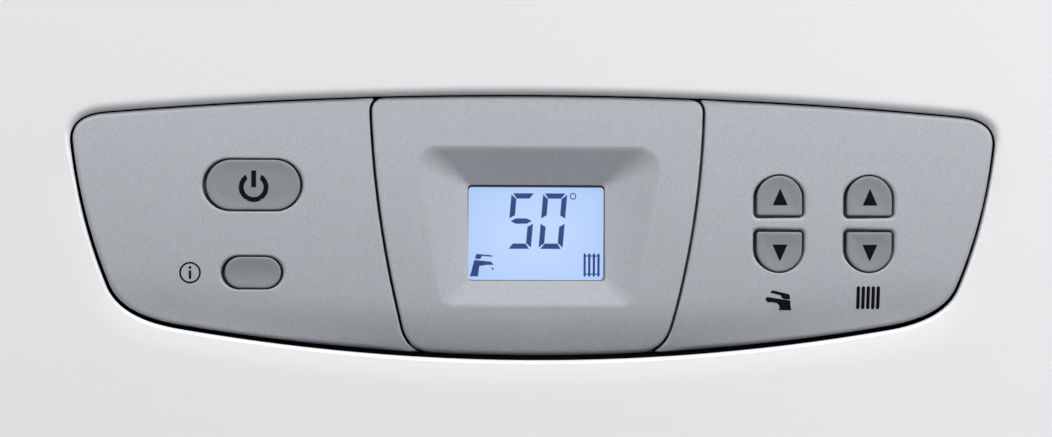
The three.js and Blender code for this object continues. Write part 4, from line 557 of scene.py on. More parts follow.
def panel_y(x, z, depth=0.0):
    """The panel's face: bowed across, a little domed up and down, and rolled back at its chin."""
    start, width = CHIN_WING
    rise = z - PANEL_LEVEL - low_edge(min(abs(x), 130.0))
    drop = CHIN_DROP * (1 - 0.5 * share((abs(x) - start) / width))
    roll = max(0.0, 1 - rise / CHIN_HEIGHT) ** 2 * drop
    dome = (z - PANEL_LEVEL - PANEL_HEIGHT / 2) ** 2 / (2 * DOME_RADIUS)
    return front_y(x) + roll + dome + depth


def rim_y(x, z, rim, least):
    """How deep the rim goes. It is cut away at the chin where the hinge arms pass when the panel is down."""
    rise, near, far = HINGE_NOTCH
    notched = z - PANEL_LEVEL < rise and near < abs(x) < far
    return least if notched else max(least, front_y(x, z, rim))


def rounded_rings(sheet, outline, radii, rim, surface, outward=False, steps=6):
    """Rings round an edge, from the face to the rim's depth. Returns the ring on the face and the deepest."""
    sign = 1 if outward else -1
    support = grown(outline, [sign * (r + min(0.25, r * 0.45)) for r in radii])
    rows = [[(x, surface(x, z), z) for x, z in support]]
    for k in range(steps + 1):
        angle = math.pi / 2 * (1 - k / steps)
        moved = grown(outline, [sign * r * (1 - math.cos(angle)) for r in radii])
        rows.append([(x, surface(x, z, r * (1 - math.sin(angle))), z) for (x, z), r in zip(moved, radii)])
    rows.append([(x, rim_y(x, z, rim, surface(x, z, r + 0.05)), z) for (x, z), r in zip(outline, radii)])
    rings = sheet.loft(rows)
    return rings[0], rings[-1]


def rim_wall(sheet, outline, back):
    """The rim's thickness, which shows from behind when the panel hangs open."""
    inner = grown(outline, -RIM_WALL)
    rear, deep = sheet.loft([[(x, rim_y(x, z, PANEL_RIM, panel_y(x, z, 2.05)), z) for x, z in inner],
                             [(x, panel_y(x, z, 2.0), z) for x, z in inner]])
    sheet.band(back, rear)


def button_hole(sheet, outline):
    """The hole's edge stands off further, and is rounded more, at its two ends than above and below."""
    xs = [x for x, z in outline]
    middle, half = (max(xs) + min(xs)) / 2, (max(xs) - min(xs)) / 2
    ends = [((x - middle) / half) ** 3 for x in xs]
    edge = grown(outline, [BUTTON_GAP + (RIGHT_GAP if end > 0 else -LEFT_GAP) * end for end in ends])
    radii = [0.5 + END_ROUND * abs(end) for end in ends]
    return rounded_rings(sheet, edge, radii, PANEL_RIM * 0.5, panel_y, outward=True, steps=5)[0]


def open_run(points):
    """The points of an open line, started after its widest gap."""
    jump = max(range(len(points)), key=lambda i: math.dist(points[i], points[i - 1]))
    return points[jump:] + points[:jump]


def wing_outline(side):
    """The panel's outline on one side of the centre section, anticlockwise, with a slim tip at each corner."""
    kept = [p for p in PANEL if side * p[0] > 0 and not inside(p, SEAM) and reach_to(p, SEAM) > TIP_WIDTH]
    seam = [p for p in SEAM if side * p[0] > 0 and inside(p, PANEL) and reach_to(p, PANEL) > TIP_WIDTH]
    return open_run(kept) + open_run(seam)[::-1]


def edge_radius(point):
    """Wide along the panel's outer edge, and small along the split line and at the tips."""
    gap = reach_to(point, SEAM)
    if gap < 0.01:
        return max(0.06, min(SPLIT_ROUND, 0.2 * reach_to(point, PANEL)))
    return min(SPLIT_ROUND + (EDGE_ROUND - SPLIT_ROUND) * share((gap - 3) / 8), 0.2 * gap)


def wing(name, side, outlines):
    sheet = Sheet()
    outline = wing_outline(side)
    front, back = rounded_rings(sheet, outline, [edge_radius(p) for p in outline], PANEL_RIM, panel_y)
    rim_wall(sheet, outline, back)
    sheet.fill(front, [button_hole(sheet, hole) for hole in outlines], FACE_GRID, panel_y)
    build(name + "_moulding", sheet, "control_panel", "panel_grey", replaces=[name])


def centre_section():
    """The middle of the panel, with the funnel that goes down to the window and is rounded at its brink."""
    sheet = Sheet()
    outline = centre_outline()
    radii = [SPLIT_ROUND + (EDGE_ROUND - SPLIT_ROUND) * share((centre_half(z - PANEL_LEVEL) - abs(x)) / 6)
             for x, z in outline]
    front, back = rounded_rings(sheet, outline, radii, PANEL_RIM, panel_y)
    rim_wall(sheet, outline, back)
    outer, inner = soft_trapezoid(RECESS_LOW, RECESS_TOP), window_outline()
    floor_y = -CASE_DEPTH + RECESS_DEPTH
    low, high = WINDOW_LOW + PANEL_LEVEL, WINDOW_TOP + PANEL_LEVEL
    starts, brinks = ([Vector((x, panel_y(x, z), z)) for x, z in part]
                      for part in (grown(outer, RECESS_SOFT), outer))
    feet = [Vector((x, floor_y - 0.1 - RECESS_STEP * (high - z) / (high - low), z)) for x, z in inner]
    rows = [[(x, panel_y(x, z), z) for x, z in grown(outer, RECESS_SOFT + 0.4)]]
    for k in range(8):
        t = k / 7
        shares = (1 - t) ** 2, 2 * t * (1 - t), t * t
        rows.append([tuple(shares[0] * start + shares[1] * brink + shares[2] * brink.lerp(foot, RECESS_CURVE))
                     for start, brink, foot in zip(starts, brinks, feet)])
    rows += [[tuple(brink.lerp(foot, part)) for brink, foot in zip(brinks, feet)] for part in RECESS_SHARES]
    rows.append([(x, floor_y + SEAT_GAP * 0.6, z) for x, z in inner])
    sheet.fill(front, [sheet.loft(rows)[0]], FACE_GRID, panel_y)
    build("fascia_centre_moulding", sheet, "control_panel", "panel_grey", replaces=["fascia_centre"])


# -------- buttons
BUTTONS = {
    "power_button": stadium(LEFT_X, POWER[2], POWER[0], POWER[1]),
    "info_button": stadium(LEFT_X, INFO[2], INFO[0], INFO[1]),
    "hot_water_up_button": d_shape(D_COLUMNS[0], UP_LEVEL, True),
    "hot_water_down_button": d_shape(D_COLUMNS[0], DOWN_LEVEL, False),
    "heating_up_button": d_shape(D_COLUMNS[1], UP_LEVEL, True),
    "heating_down_button": d_shape(D_COLUMNS[1], DOWN_LEVEL, False),
}


def cap_surface(outline):
    """The cap's face stands a little proud of the panel and is dished towards its middle."""
    deep, width, most = CAP_DISH

    def surface(x, z, depth=0.0):
        reach = min(most, reach_to((x, z), outline)) if inside((x, z), outline) else 0.0
        dish = deep * max(0.0, (reach - CAP_ROUND) / width) ** 1.5
        return panel_y(x, z) - BUTTON_PROUD + dish + depth

    return surface


def button(name, outline):
    """A cap with a collar behind the panel, and a stem that reaches back to the switch."""
    sheet = Sheet()
    surface = cap_surface(outline)
    front, back = rounded_rings(sheet, outline, [CAP_ROUND] * len(outline), PANEL_RIM * 0.56, surface)
    sheet.fill(front, [], CAP_GRID, surface)
    sheet.faces.append(tuple(back))
    spread, near, far = COLLAR
    wide = grown(outline, spread)
    sheet.loft([[(x, front_y(x, z, depth), z) for x, z in part]
                for part, depth in ((outline, near), (wide, near), (wide, far))], caps=[-1])
    low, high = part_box(name)
    middle_x, middle_z = (low.x + high.x) / 2 / MM, (low.z + high.z) / 2 / MM
    stem = circle(middle_x, middle_z, STEM_RADIUS, 20)
    sheet.loft([[(x, y, z) for x, z in stem] for y in (front_y(middle_x) + far - 0.2, high.y / MM)], caps=[-1])
    build(name + "_cap", sheet, name + "_body", "button_grey", replaces=[name])


# -------- printed and displayed marks
def stepped(outline, reach=0.9):
    """The same outline with its long edges cut into short ones, so that it can follow a bowed face."""
    points = []
    for (x1, z1), (x2, z2) in zip(outline, outline[1:] + outline[:1]):
        count = max(1, math.ceil(math.hypot(x2 - x1, z2 - z1) / reach))
        points += [(x1 + (x2 - x1) * k / count, z1 + (z2 - z1) * k / count) for k in range(count)]
    return points


def decal(name, shapes, surface, body, mat=None, lift=0.03):
    """Thin marks on a surface. Each shape is (outline, holes)."""
    sheet = Sheet()
    for outline, holes in shapes:
        rings = [sheet.ring([(x, surface(x, z) - lift, z) for x, z in stepped(part)])
                 for part in [outline, *holes]]
        sheet.fill(rings[0], rings[1:], 1.2, lambda x, z: surface(x, z) - lift)
        for ring in rings:
            sheet.band(ring, sheet.ring([(x, y + lift * 0.9, z) for x, y, z in (sheet.points[i] for i in ring)]))
    build(name, sheet, body, "black_plastic", mat)


def bar(x1, z1, x2, z2, width):
    """A straight stroke with round ends."""
    angle = math.atan2(z2 - z1, x2 - x1)
    radius = width / 2
    return (arc(x2, z2, radius, angle - math.pi / 2, angle + math.pi / 2, 8)
            + arc(x1, z1, radius, angle + math.pi / 2, angle + 1.5 * math.pi, 8))


def block(x1, z1, x2, z2, round_=0.15, steps=3):
    return (arc(x2 - round_, z1 + round_, round_, -math.pi / 2, 0, steps)
            + arc(x2 - round_, z2 - round_, round_, 0, math.pi / 2, steps)
            + arc(x1 + round_, z2 - round_, round_, math.pi / 2, math.pi, steps)
            + arc(x1 + round_, z1 + round_, round_, math.pi, 1.5 * math.pi, steps))


def triangle(x, z, half, height, up):
    side = 1 if up else -1
    points = [(x - half, z - side * height / 2), (x + half, z - side * height / 2), (x, z + side * height / 2)]
    return points if up else points[::-1]


wing("fascia_left", -1, [BUTTONS["power_button"], BUTTONS["info_button"]])
centre_section()
wing("fascia_right", 1, [outline for name, outline in BUTTONS.items() if name.startswith("h")])
for name, outline in BUTTONS.items():
    button(name, outline)


# -------- marks on the buttons and the fascia
def ring_shape(x, z, radius, width, steps=48):
    return (circle(x, z, radius, steps), [circle(x, z, radius - width, steps)])


def power_mark():
    """A bar in a ring that is open at the top."""
    x, z = LEFT_X + 0.15, PANEL_LEVEL + POWER[2] - 0.8
    radius, width, gap = 5.1, 1.7, math.radians(31)
    outer = arc(x, z, radius, math.pi / 2 + gap, 2.5 * math.pi - gap, 48)
    inner = arc(x, z, radius - width, 2.5 * math.pi - gap * 1.25, math.pi / 2 + gap * 1.25, 48)
    return [(outer + inner, []), (block(x - 0.84, z, x + 0.84, z + 6.0), [])]


def info_mark():
    x, z = -119.6, PANEL_LEVEL + INFO[2] - 0.1
    dot = circle(x, z + 1.75, 0.5, 16)
    return [ring_shape(x, z, 3.7, 0.6), (dot, []), (block(x - 0.42, z - 2.2, x + 0.42, z + 0.8), [])]


def tap_mark():
    """A mixer tap from the side, its spout to the left."""
    x, z = 73.8, -257.75
    lever = [(7.3, -4.05), (8.1, -3.6), (13.9, -4.9), (14.35, -6.45), (13.8, -6.8), (12.15, -6.6),
             (11.3, -6.1), (10.9, -5.3), (7.5, -4.5)]
    body = [(5.7, -6.45), (6.1, -5.9), (14.35, -7.1), (14.5, -9.3), (14.85, -10.5), (10.3, -10.5),
            (10.7, -9.6), (10.5, -8.8), (9.6, -7.95), (7.9, -7.7), (6.4, -7.8), (5.75, -7.0)]
    return [([(x + u, z + v) for u, v in reversed(part)], []) for part in (lever, body)]


def radiator_mark():
    middle, pitch, high, low = 115.65, 1.77, -260.45, -267.3
    return [(bar(middle + k * pitch, low, middle + k * pitch, high, 1.22), []) for k in range(-2, 3)]


def cap_decal(name, shapes):
    decal(name + "_mark", shapes, cap_surface(BUTTONS[name]), name + "_body", mat=PRINT)


cap_decal("power_button", power_mark())
for column, kind in zip(D_COLUMNS, ("hot_water", "heating")):
    for way, level in (("up", UP_LEVEL), ("down", DOWN_LEVEL)):
        cap_decal(kind + "_" + way + "_button",
                  [(triangle(column + 0.2, PANEL_LEVEL + level - 0.4, 2.65, 5.9, way == "up"), [])])
for name, shapes in (("info", info_mark()), ("tap", tap_mark()), ("radiator", radiator_mark())):
    decal(name + "_pictogram", shapes, panel_y, "control_panel", mat=PRINT)


# -------- what the display shows
def digit(x, lit):
    """One seven-segment figure. Segments go from the top one round clockwise, the middle one last."""
    wide, high, stroke, cut, gap, slant = 8.4, 19.3, 1.85, 0.45, 0.14, 0.0815
    mid, half = high / 2, stroke / 2
    upper = [(0, high - cut), (0, mid + half), (stroke, mid + stroke + gap), (stroke, high - stroke - gap)]
    lower = [(0, mid - half), (0, cut), (stroke, stroke + gap), (stroke, mid - stroke - gap)]
    across = lambda side: [(wide - u, v) for u, v in reversed(side)]
    segments = [
        [(cut + gap, high), (stroke + gap, high - stroke), (wide - stroke - gap, high - stroke),
         (wide - cut - gap, high)],
        across(upper),
        across(lower),
        [(cut + gap, 0), (wide - cut - gap, 0), (wide - stroke - gap, stroke), (stroke + gap, stroke)],
        lower,
        upper,
        [(cut, mid), (cut + stroke, mid - half), (wide - cut - stroke, mid - half), (wide - cut, mid),
         (wide - cut - stroke, mid + half), (cut + stroke, mid + half)],
    ]
    low = -247.4
    return [([(x + u + v * slant, low + v) for u, v in segments[k]], []) for k in lit]


def small_tap():
    x, z = -26.46, -223.5
    lever = [(5.86, -25.7), (5.5, -27.4), (7.2, -27.5), (7.9, -26.4), (11.2, -26.7), (11.4, -26.2)]
    body = [(5.2, -27.8), (3.7, -33.5), (6.5, -33.5), (7.0, -29.9), (9.6, -29.5), (11.9, -29.5), (11.1, -28.4)]
    drop = [(11.2, -30.4), (11.4, -31.2), (11.9, -31.3), (11.8, -30.5)]
    return [([(x + u, z + v) for u, v in part], []) for part in (lever, body, drop)]


def small_radiator():
    left, pitch, low, high = 17.2, 1.61, -256.6, -249.3
    bars = [bar(left + k * pitch, low, left + k * pitch, high, 0.8) for k in range(4)]
    links = [block(left + k * pitch + 0.42, level - 0.2, left + (k + 1) * pitch - 0.42, level + 0.2, 0.05)
             for level in (-249.8, -256.1) for k in range(3)]
    return [(shape, []) for shape in bars + links]


def display_marks():
    shapes = digit(-10.0, (0, 5, 6, 2, 3)) + digit(1.05, (0, 1, 2, 3, 4, 5))
    shapes += [ring_shape(13.0, -229.1, 1.15, 0.35, 24)] + small_tap() + small_radiator()
    decal("display_figures", shapes, lambda x, z: -CASE_DEPTH + 10.98, "control_panel", mat=INK, lift=0.04)


display_marks()


def gasket():
    """A thin black seal round the window, drawn thickest at its top as painted shadow from the funnel's top
    edge.
    """
    level = -CASE_DEPTH + RECESS_DEPTH + SEAT_GAP * 0.6
    half = WINDOW_HALF - 0.3
    # The wider band along the top is painted shadow
    inner = soft_trapezoid((half, WINDOW_LOW + 0.2, 1.2), (half, WINDOW_TOP - 0.85, 1.2))
    decal("window_gasket", [(window_outline(), [inner])], lambda x, z: level, "control_panel", lift=0.05)


gasket()

# -------- front cover
def cover_profile(inset, seam=SEAM_ROUND, steps=8):
    """The cover's section from its left rear edge round the front to its right rear edge, as (x, y)."""
    half = CASE_WIDTH / 2 - inset
    corner = COVER_CORNER - inset
    front = lambda x: front_y(x, depth=inset)
    turn = quadratic((-half, front(half) + corner), (-half, front(half)), (corner - half, front(half - corner)),
                     steps)
    face = [(half - corner) * (k / 24 - 1) for k in range(24)]
    rear = -SIDE_DEPTH - SEAT_GAP
    edge = [(seam - half, rear), (seam * 0.29 - half, rear - seam * 0.29), (-half, rear - seam)]
    left = (edge if seam else [(-half, rear)]) + turn + [(x, front(x)) for x in face]
    return left + [(0.0, front(0))] + [(-x, y) for x, y in reversed(left)]


def lip_outline():
    """The cover's opening: close to the panel along the top and wider below, as the panel hangs in it."""
    gaps = []
    for x, z in PANEL:
        level = z - PANEL_LEVEL
        side = LOW_GAP + (SIDE_GAP - LOW_GAP) * share(level / 60)
        gaps.append(side + (TOP_GAP - side) * share((level - 73) / 10))
    return grown(PANEL, gaps)


def cover_seal():
    """A near-black strip behind the opening's edge: a sheet of painted shade that makes the gap round the panel,
    and the inside behind it, look dark.
    """
    sheet = Sheet()
    inner, lip, wide = grown(PANEL, 0.12), grown(lip_outline(), 3.1), grown(lip_outline(), 6.5)
    section = [(lip, 1.7), (wide, 1.7), (wide, 13.5), (inner, 13.5), (inner, 11.6), (lip, 11.6)]
    rings = sheet.loft([[(x, front_y(x, z, depth), z) for x, z in part] for part, depth in section])
    sheet.band(rings[-1], rings[0])
    build("cover_seal", sheet, "cover", "black_plastic", GAP_SHADE)


def opening_lip(sheet):
    """The flare and the rolled lip round the opening. Returns the first ring, on the front, and the last."""
    lip = lip_outline()
    heights = [z - PANEL_LEVEL for x, z in PANEL]
    radii = [SIDE_LIP_ROUND + (TOP_LIP_ROUND - SIDE_LIP_ROUND) * share((height - 66) / 16)
             for height in heights]
    flares = [FLARE * share((74 - height) / 16) for height in heights]

    def row(spread, depths):
        return [(x, front_y(x, z, depth), z) for (x, z), depth in zip(grown(lip, spread), depths)]

    rows = [row([r + FLARE_REACH + 0.5 for r in radii], [0.0] * len(lip))]
    for k in range(9):
        rows.append(row([r + FLARE_REACH * (1 - k / 8) for r in radii],
                        [flare * (k / 8) ** 2 for flare in flares]))
    for k in range(1, 9):
        angle = math.pi / 2 * k / 8
        rows.append(row([r * (1 - math.sin(angle)) for r in radii],
                        [flare + r * (1 - math.cos(angle)) for flare, r in zip(flares, radii)]))
    rows += [row(out, [depth] * len(lip)) for out, depth in ((0, 4.0), (SHEET, 4.0), (SHEET, SHEET))]
    rings = sheet.loft(rows)
    return rings[0], rings[-1]


def cover():
    sheet = Sheet()
    # The front: a flat pattern of the bowed face, round the opening
    hole, rear = opening_lip(sheet)
    half, top = CASE_WIDTH / 2 - COVER_CORNER, CASE_HEIGHT / 2 - COVER_EDGE
    columns = [half * (k / 24 - 1) for k in range(49)]
    rows = [top * (k / 40 - 1) for k in range(81)]
    border = ([(x, -top) for x in columns] + [(half, z) for z in rows[1:]]
              + [(x, top) for x in reversed(columns[:-1])] + [(-half, z) for z in reversed(rows[1:-1])])
    sheet.fill(sheet.ring([(x, front_y(x), z) for x, z in border]), [hole], 12.0, front_y)
    # The rounded corners and returns down each side, and the turned-in top and bottom
    for side in (1, -1):
        part = [p for p in cover_profile(0) if side * p[0] >= half - 1e-6][::side]
        sheet.loft([[(x, y, z) for z in rows] for x, y in part], closed=False)
    for end in (1, -1):
        turns = []
        for k in range(6):
            angle = math.pi / 2 * k / 5
            level = end * (top + COVER_EDGE * math.sin(angle))
            turns.append([(x, y, level) for x, y in cover_profile(COVER_EDGE * (1 - math.cos(angle)))])
        sheet.across(sheet.loft(turns, closed=False)[-1])
    # The inside of the sheet: flat strips at the corners, and the bowed front between them
    profile = cover_profile(SHEET, 0)
    low, high = (sheet.ring([(x, y, end * (CASE_HEIGHT / 2 - SHEET)) for x, y in profile]) for end in (-1, 1))
    for i, (one, other) in enumerate(zip(profile, profile[1:])):
        if max(abs(one[0]), abs(other[0])) > 190:
            sheet.faces.append((low[i], high[i], high[i + 1], low[i + 1]))
    keep = [i for i, (x, y) in enumerate(profile) if abs(x) <= 191]
    sheet.fill([low[i] for i in keep] + [high[i] for i in reversed(keep)], [rear], 24.0,
               lambda x, z: front_y(x, z, SHEET))
    for ring in (low, high):
        sheet.across(ring)
    rear_rim(sheet)
    build("front_cover_shell", sheet, "cover", "casing_white", sharp=50, replaces=["front_cover"])


def rear_rim(sheet):
    """The sheet's own edge round the open back."""
    top, half, y = CASE_HEIGHT / 2, CASE_WIDTH / 2 - SEAM_ROUND, -SIDE_DEPTH - SEAT_GAP
    corner = [tuple(COVER_EDGE * (1 - turn(math.pi / 2 * k / 5)) for turn in (math.cos, math.sin))
              for k in range(6)]
    rise = [(half - u, top - v) for u, v in corner]
    sides = [(half, (top - COVER_EDGE) * (k / 40 - 1)) for k in range(81)]
    outer = sides[:-1] + rise + [(-x, z) for x, z in reversed(rise)] + [(-x, -z) for x, z in sides[1:-1]]
    outer += [(-x, -z) for x, z in rise] + [(x, -z) for x, z in reversed(rise)][:-1]
    hollow = CASE_WIDTH / 2 - SHEET
    inner = [(hollow, SHEET - top), (hollow, top - SHEET), (-hollow, top - SHEET), (-hollow, SHEET - top)]
    rings = [sheet.ring([(x, y, z) for x, z in part]) for part in (outer, inner)]
    sheet.fill(rings[0], rings[1:], 900, lambda x, z: y)


cover()
cover_seal()


# -------- tray ribs, screws and the rear sheet
def bead(sheet, x1, y1, x2, y2):
    """A low moulded rib on the tray's top, with its upper edge rounded."""
    rows = []
    for inset, level in RIB_PROFILE:
        outline = block(x1 + inset, y1 + inset, x2 - inset, y2 - inset, 0.7)
        rows.append([(x, y, TRAY_TOP + level) for x, y in outline])
    sheet.loft(rows, caps=[0, -1])


def tray_ribs():
    """The ribs on the tray's top, which faces forwards in the hanging panel, and the bead along its back."""
    sheet = Sheet()
    front, back = TRAY_DEPTHS
    for k in range(-4, 5):
        bead(sheet, k * RIB_PITCH - 0.9, front, k * RIB_PITCH + 0.9, back - 3.4)
    bead(sheet, -TRAY_HALF + 0.8, back - 2.2, TRAY_HALF - 0.8, back)
    build("control_tray_ribs", sheet, "control_panel", "black_plastic")


def tray_screws():
    sheet = Sheet()
    middle = sum(TRAY_DEPTHS) / 2
    for x in (-SCREW_REACH, SCREW_REACH):
        sheet.loft([[(u, v, TRAY_TOP + level) for u, v in circle(x, middle, radius, 28)]
                    for radius, level in SCREW_PROFILE], caps=[0, -1])
    build("control_tray_screws", sheet, "control_panel", "zinc_sheet")


def rear_sheet():
    """The rear sheet with its two hook slots and two shallow pressed panels that stiffen it."""
    sheet = Sheet()
    half, level = CASE_WIDTH / 2 - SHEET - SEAT_GAP, CASE_HEIGHT / 2 - SHEET - SEAT_GAP
    reach, width, low, high = HOOK_SLOT
    cuts = [block(-half, -level, half, level, 0.5)]
    cuts += [block(x - width / 2, low, x + width / 2, high, 0.5) for x in (-reach, reach)]
    outer, inner = zip(*(sheet.loft([[(x, y, z) for x, z in cut] for y in (0.0, -SHEET)]) for cut in cuts))
    pressed = []
    for bottom, top in PRESSED:
        outline = block(-PRESSED_HALF, bottom, PRESSED_HALF, top, 16, 10)
        pressed.append(sheet.loft([[(x, -depth, z) for x, z in grown(outline, -inset)]
                                   for inset, depth in PRESSED_PROFILE], caps=[-1])[0])
    sheet.fill(outer[0], [*outer[1:], *pressed], 900, lambda x, z: 0.0)
    sheet.fill(inner[0], inner[1:], 900, lambda x, z: -SHEET)
    build("back_plate_pressed", sheet, "chassis", "zinc_sheet", sharp=30, replaces=["back_plate"])


tray_ribs()
tray_screws()
rear_sheet()


# -------- finer copies of the fittings
def fans(vertex, sharp, areas):
    """Every face round a vertex with the normal of the smooth surface that it belongs to there."""
    found, left = {}, set(vertex.link_faces)
    while left:
        fan, waiting = [], [left.pop()]
        while waiting:
            face = waiting.pop()
            fan.append(face)
            for edge in face.edges:
                if vertex in edge.verts and edge not in sharp:
                    near = [other for other in edge.link_faces if other in left]
                    left.difference_update(near)
                    waiting += near
        least = max(1e-12, min(areas[face] for face in fan))
        normal = Vector()
        for face in fan:
            size = areas[face] / least
            normal += face.normal * (1 if size < NEARLY_EVEN else size if size < UNEVEN else size * 10)
        normal.normalize()
        for face in fan:
            found[face] = normal
    return found


def bulge(edge, normals, sharp):
    """How far the middle of an edge moves for the edge to become an arc of the surface round it."""
    ends = []
    chord = edge.verts[1].co - edge.verts[0].co
    for vertex in edge.verts:
        first, second = (normals[vertex][face] for face in edge.link_faces)
        along = first.cross(second) if edge in sharp else chord - first * chord.dot(first)
        if along.dot(chord) < 0:
            along.negate()
        if along.length < 1e-9 or along.angle(chord) > WIDEST_TURN:
            along = chord
        ends.append(along.normalized())
    turn = ends[0].angle(ends[1], 0.0)
    return (ends[0] - ends[1]) * chord.length / 8 / math.cos(turn / 4) ** 2


def rounded_once(work, limit):
    """Halves the edges of the curved faces, with the new points on arcs, and leaves the flat faces flat."""
    work.verts.index_update()
    sharp = {edge for edge in work.edges if len(edge.link_faces) != 2 or edge.calc_face_angle() > limit}
    areas = {face: face.calc_area() for face in work.faces}
    normals = {vertex: fans(vertex, sharp, areas) for vertex in work.verts}
    middles, points = {}, [vertex.co.copy() for vertex in work.verts]
    for edge in work.edges:
        if len(edge.link_faces) == 2:
            move = bulge(edge, normals, sharp)
            if move.length > LEAST_BULGE:
                middles[edge] = (len(points), move)
                points.append((edge.verts[0].co + edge.verts[1].co) / 2 + move)
    faces = []
    for face in work.faces:
        corners = [loop.vert.index for loop in face.loops]
        cuts = [middles.get(loop.edge) for loop in face.loops]
        border = [i for corner, cut in zip(corners, cuts) for i in ([corner, cut[0]] if cut else [corner])]
        flat = all(abs((points[i] - face.verts[0].co).dot(face.normal)) < FLAT_WITHIN for i in border)
        count = len(corners)
        if flat or not any(cuts):
            faces.append(border)
        elif count == 4 and not cuts[0] and not cuts[2] and cuts[1] and cuts[3]:
            faces += [[corners[0], corners[1], cuts[1][0], cuts[3][0]],
                      [cuts[3][0], cuts[1][0], corners[2], corners[3]]]
        elif count == 4 and not cuts[1] and not cuts[3] and cuts[0] and cuts[2]:
            faces += [[corners[0], cuts[0][0], cuts[2][0], corners[3]],
                      [cuts[0][0], corners[1], corners[2], cuts[2][0]]]
        elif count == 3 and all(cuts):
            a, b, c = (cut[0] for cut in cuts)
            faces += [[corners[0], a, c], [a, corners[1], b], [b, corners[2], c], [a, b, c]]
        else:
            centre = sum((work.verts[i].co for i in corners), Vector()) / count
            centre += sum((cut[1] for cut in cuts if cut), Vector()) * 2 / count
            middle = len(points)
            points.append(centre)
            if count == 4 and all(cuts):
                faces += [[corners[k], cuts[k][0], middle, cuts[k - 1][0]] for k in range(4)]
            else:
                faces += [[border[k - 1], border[k], middle] for k in range(len(border))]
    return points, faces


def fine(node, edge):
    """A copy of a node whose faceted rounds are made truly round and whose sharp edges are slightly broken."""
    work = bmesh.new()
    work.from_mesh(frame["nodes"][node].data)
    bmesh.ops.remove_doubles(work, verts=work.verts, dist=5e-6)
    bmesh.ops.dissolve_limit(work, angle_limit=math.radians(0.3), verts=work.verts, edges=work.edges)
    for limit in FACET_LIMITS:
        work.verts.ensure_lookup_table()
        work.normal_update()
        points, faces = rounded_once(work, math.radians(limit))
        mesh = bpy.data.meshes.new(node)
        mesh.from_pydata(points, [], faces)
        work.free()
        work = bmesh.new()
        work.from_mesh(mesh)
    for vertex in work.verts:
        vertex.co = [min(max(value, low), high) for value, low, high in zip(vertex.co, *cad_box)]
    mesh = bpy.data.meshes.new(node)
    work.to_mesh(mesh)
    work.free()
    slot = next(part["material_slot"] for part in frame["record"]["subparts"] if part["node"] == node)
    body = next(name for name, nodes in frame["record"]["behaviour"]["bodies"].items() if node in nodes)
    piece = finish_piece(node + "_fine", mesh, body, slot, sharp=32, replaces=[node])
    bevel = piece.modifiers.new("edges", "BEVEL")
    bevel.limit_method = "ANGLE"
    bevel.angle_limit = math.radians(45)
    bevel.width = edge * MM
    bevel.segments = 2
    bevel.use_clamp_overlap = False
    bevel.harden_normals = False
    piece.modifiers.new("shading", "WEIGHTED_NORMAL").keep_sharp = True
    bpy.context.view_layer.update()
    solid = bpy.data.meshes.new_from_object(piece.evaluated_get(bpy.context.evaluated_depsgraph_get()))
    piece.modifiers.clear()
    piece.data = solid


# -------- finishes of the other pieces
for part in frame["record"]["subparts"]:
    node = frame["nodes"][part["node"]]
    node.data.materials.clear()
    node.data.materials.append(FINISHES[part["material_slot"]])

REPLACED = {"fascia_left", "fascia_centre", "fascia_right", "front_cover", "back_plate", *BUTTONS}
PLAIN = {"display_window", "lcd_module"}
for name in frame["nodes"]:
    if name not in REPLACED | PLAIN:
        fine(name, SEAM_ROUND if name.startswith("side_panel") else BROKEN_EDGE)

# The arms of the hinge are drawn in underneath, where the panel's chin comes to lie when it hangs open
for vertex in bpy.data.objects["hinge_crossmember_fine"].data.vertices:
    x, y, z = vertex.co / MM
    if all(low < value < high for value, (low, high) in zip((abs(x), y, z), HINGE_ARM)):
        vertex.co.z += HINGE_DRAW * MM


# -------- camera, light and ground
LAMP_AIM = (0, -0.3, -0.2)


def camera():
    """Stands where the photograph was taken: 1.5 m off, a little left, with a long lens."""
    data = bpy.data.cameras.new("camera")
    seen = bpy.data.objects.new("camera", data)
    bpy.context.scene.collection.objects.link(seen)
    place = Vector((-0.12770, -1.80250, -0.22104))
    yaw, pitch, roll = 0.0842, -0.0107, 0.0049
    forward = Vector((math.sin(yaw) * math.cos(pitch), math.cos(yaw) * math.cos(pitch), math.sin(pitch)))
    right = Vector((math.cos(yaw), -math.sin(yaw), 0))
    up = right.cross(forward)
    turned_right = right * math.cos(roll) + up * math.sin(roll)
    turned_up = up * math.cos(roll) - right * math.sin(roll)
    axes = Matrix((turned_right, turned_up, -forward)).transposed()
    seen.matrix_world = Matrix.Translation(place) @ axes.to_4x4()
    data.sensor_width = 36
    data.lens = 36 * 4259.45 / 1052
    data.clip_start = 0.05
    data.clip_end = 50
    bpy.context.scene.camera = seen


def lamp(name, place, width, height, power):
    data = bpy.data.lights.new(name, "AREA")
    data.shape = "RECTANGLE"
    data.size = width
    data.size_y = height
    data.energy = power
    shining = bpy.data.objects.new(name, data)
    bpy.context.scene.collection.objects.link(shining)
    aim = (Vector(LAMP_AIM) - Vector(place)).to_track_quat("-Z", "Y")
    shining.matrix_world = Matrix.Translation(place) @ aim.to_matrix().to_4x4()


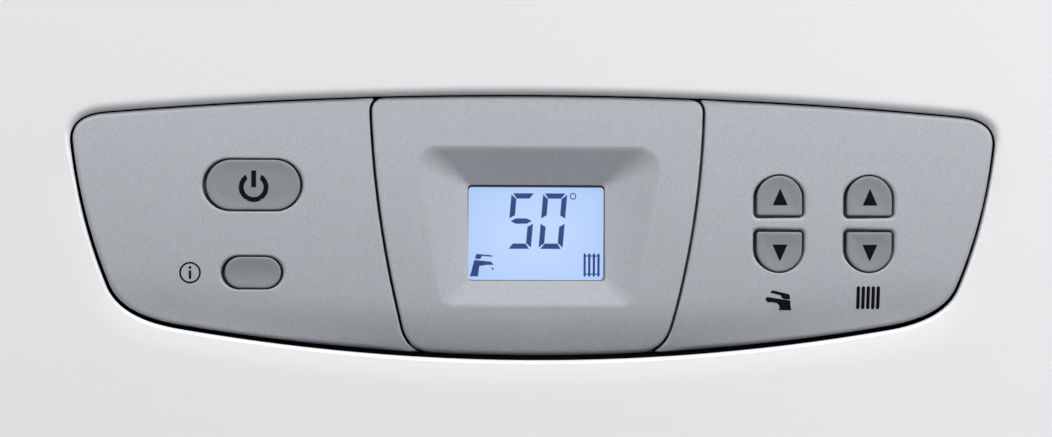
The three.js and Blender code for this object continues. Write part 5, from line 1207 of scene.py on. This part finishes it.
def seen_directly(nodes):
    """One for rays from the camera, or by way of metal or glass, and nought for the light between surfaces."""
    rays = nodes.tree.nodes.new("ShaderNodeLightPath").outputs
    first = nodes.add("Math", "Value", rays["Is Camera Ray"], rays["Is Glossy Ray"])
    second = nodes.add("Math", "Value", first, rays["Is Transmission Ray"])
    second.node.use_clamp = True
    return second


def ground():
    """A pale floor that throws little light back up."""
    mesh = bpy.data.meshes.new("floor")
    reach, level = 9.0, -0.62
    corners = [(-reach, -reach, level), (reach, -reach, level), (reach, reach, level), (-reach, reach, level)]
    mesh.from_pydata(corners, [], [(0, 1, 2, 3)])
    paint = material("floor_paint", srgb(120, 120, 121), 0.8, drift=0.01, Emission_Color=srgb(255, 255, 255),
                     Emission_Strength=0.53)
    nodes = Nodes(paint)
    shown = nodes.tree.nodes["Principled BSDF"].outputs["BSDF"]
    dull = nodes.add("BsdfDiffuse", "BSDF", Color=srgb(58, 58, 58))
    nodes.own("Material Output", nodes.add("MixShader", "Shader", seen_directly(nodes), dull, shown))
    mesh.materials.append(paint)
    floor = bpy.data.objects.new("floor", mesh)
    bpy.context.scene.collection.objects.link(floor)


def surroundings():
    """Soft room light, stronger from above, and a plain pale grey where the world itself is seen."""
    world = bpy.data.worlds.new("room")
    bpy.context.scene.world = world
    nodes = Nodes(world)
    height = nodes.add("SeparateXYZ", "Z", nodes.add("TexCoord", "Generated"))
    level = nodes.add("MapRange", "Result", height, From_Min=-0.5, From_Max=0.8)
    nodes.own("Background", nodes.ramp(level, (0.02, 0.02, 0.022, 1), (0.29, 0.298, 0.31, 1)))
    room = nodes.tree.nodes["Background"].outputs["Background"]
    pale = nodes.add("Background", "Background", Strength=1.0)
    nodes.own("World Output", nodes.add("MixShader", "Shader", seen_directly(nodes), room, pale))


camera()
ground()
surroundings()
# Place in metres, width, height and power in watts
lamp("key", (0.55, -2.7, 2.8), 1.4, 1.4, 101)
lamp("right", (1.2, -1.3, 0.1), 0.7, 0.9, 11)
lamp("left", (-1.4, -1.3, 0.1), 0.9, 0.9, 10.5)
bpy.context.scene.view_settings.view_transform = "Standard"
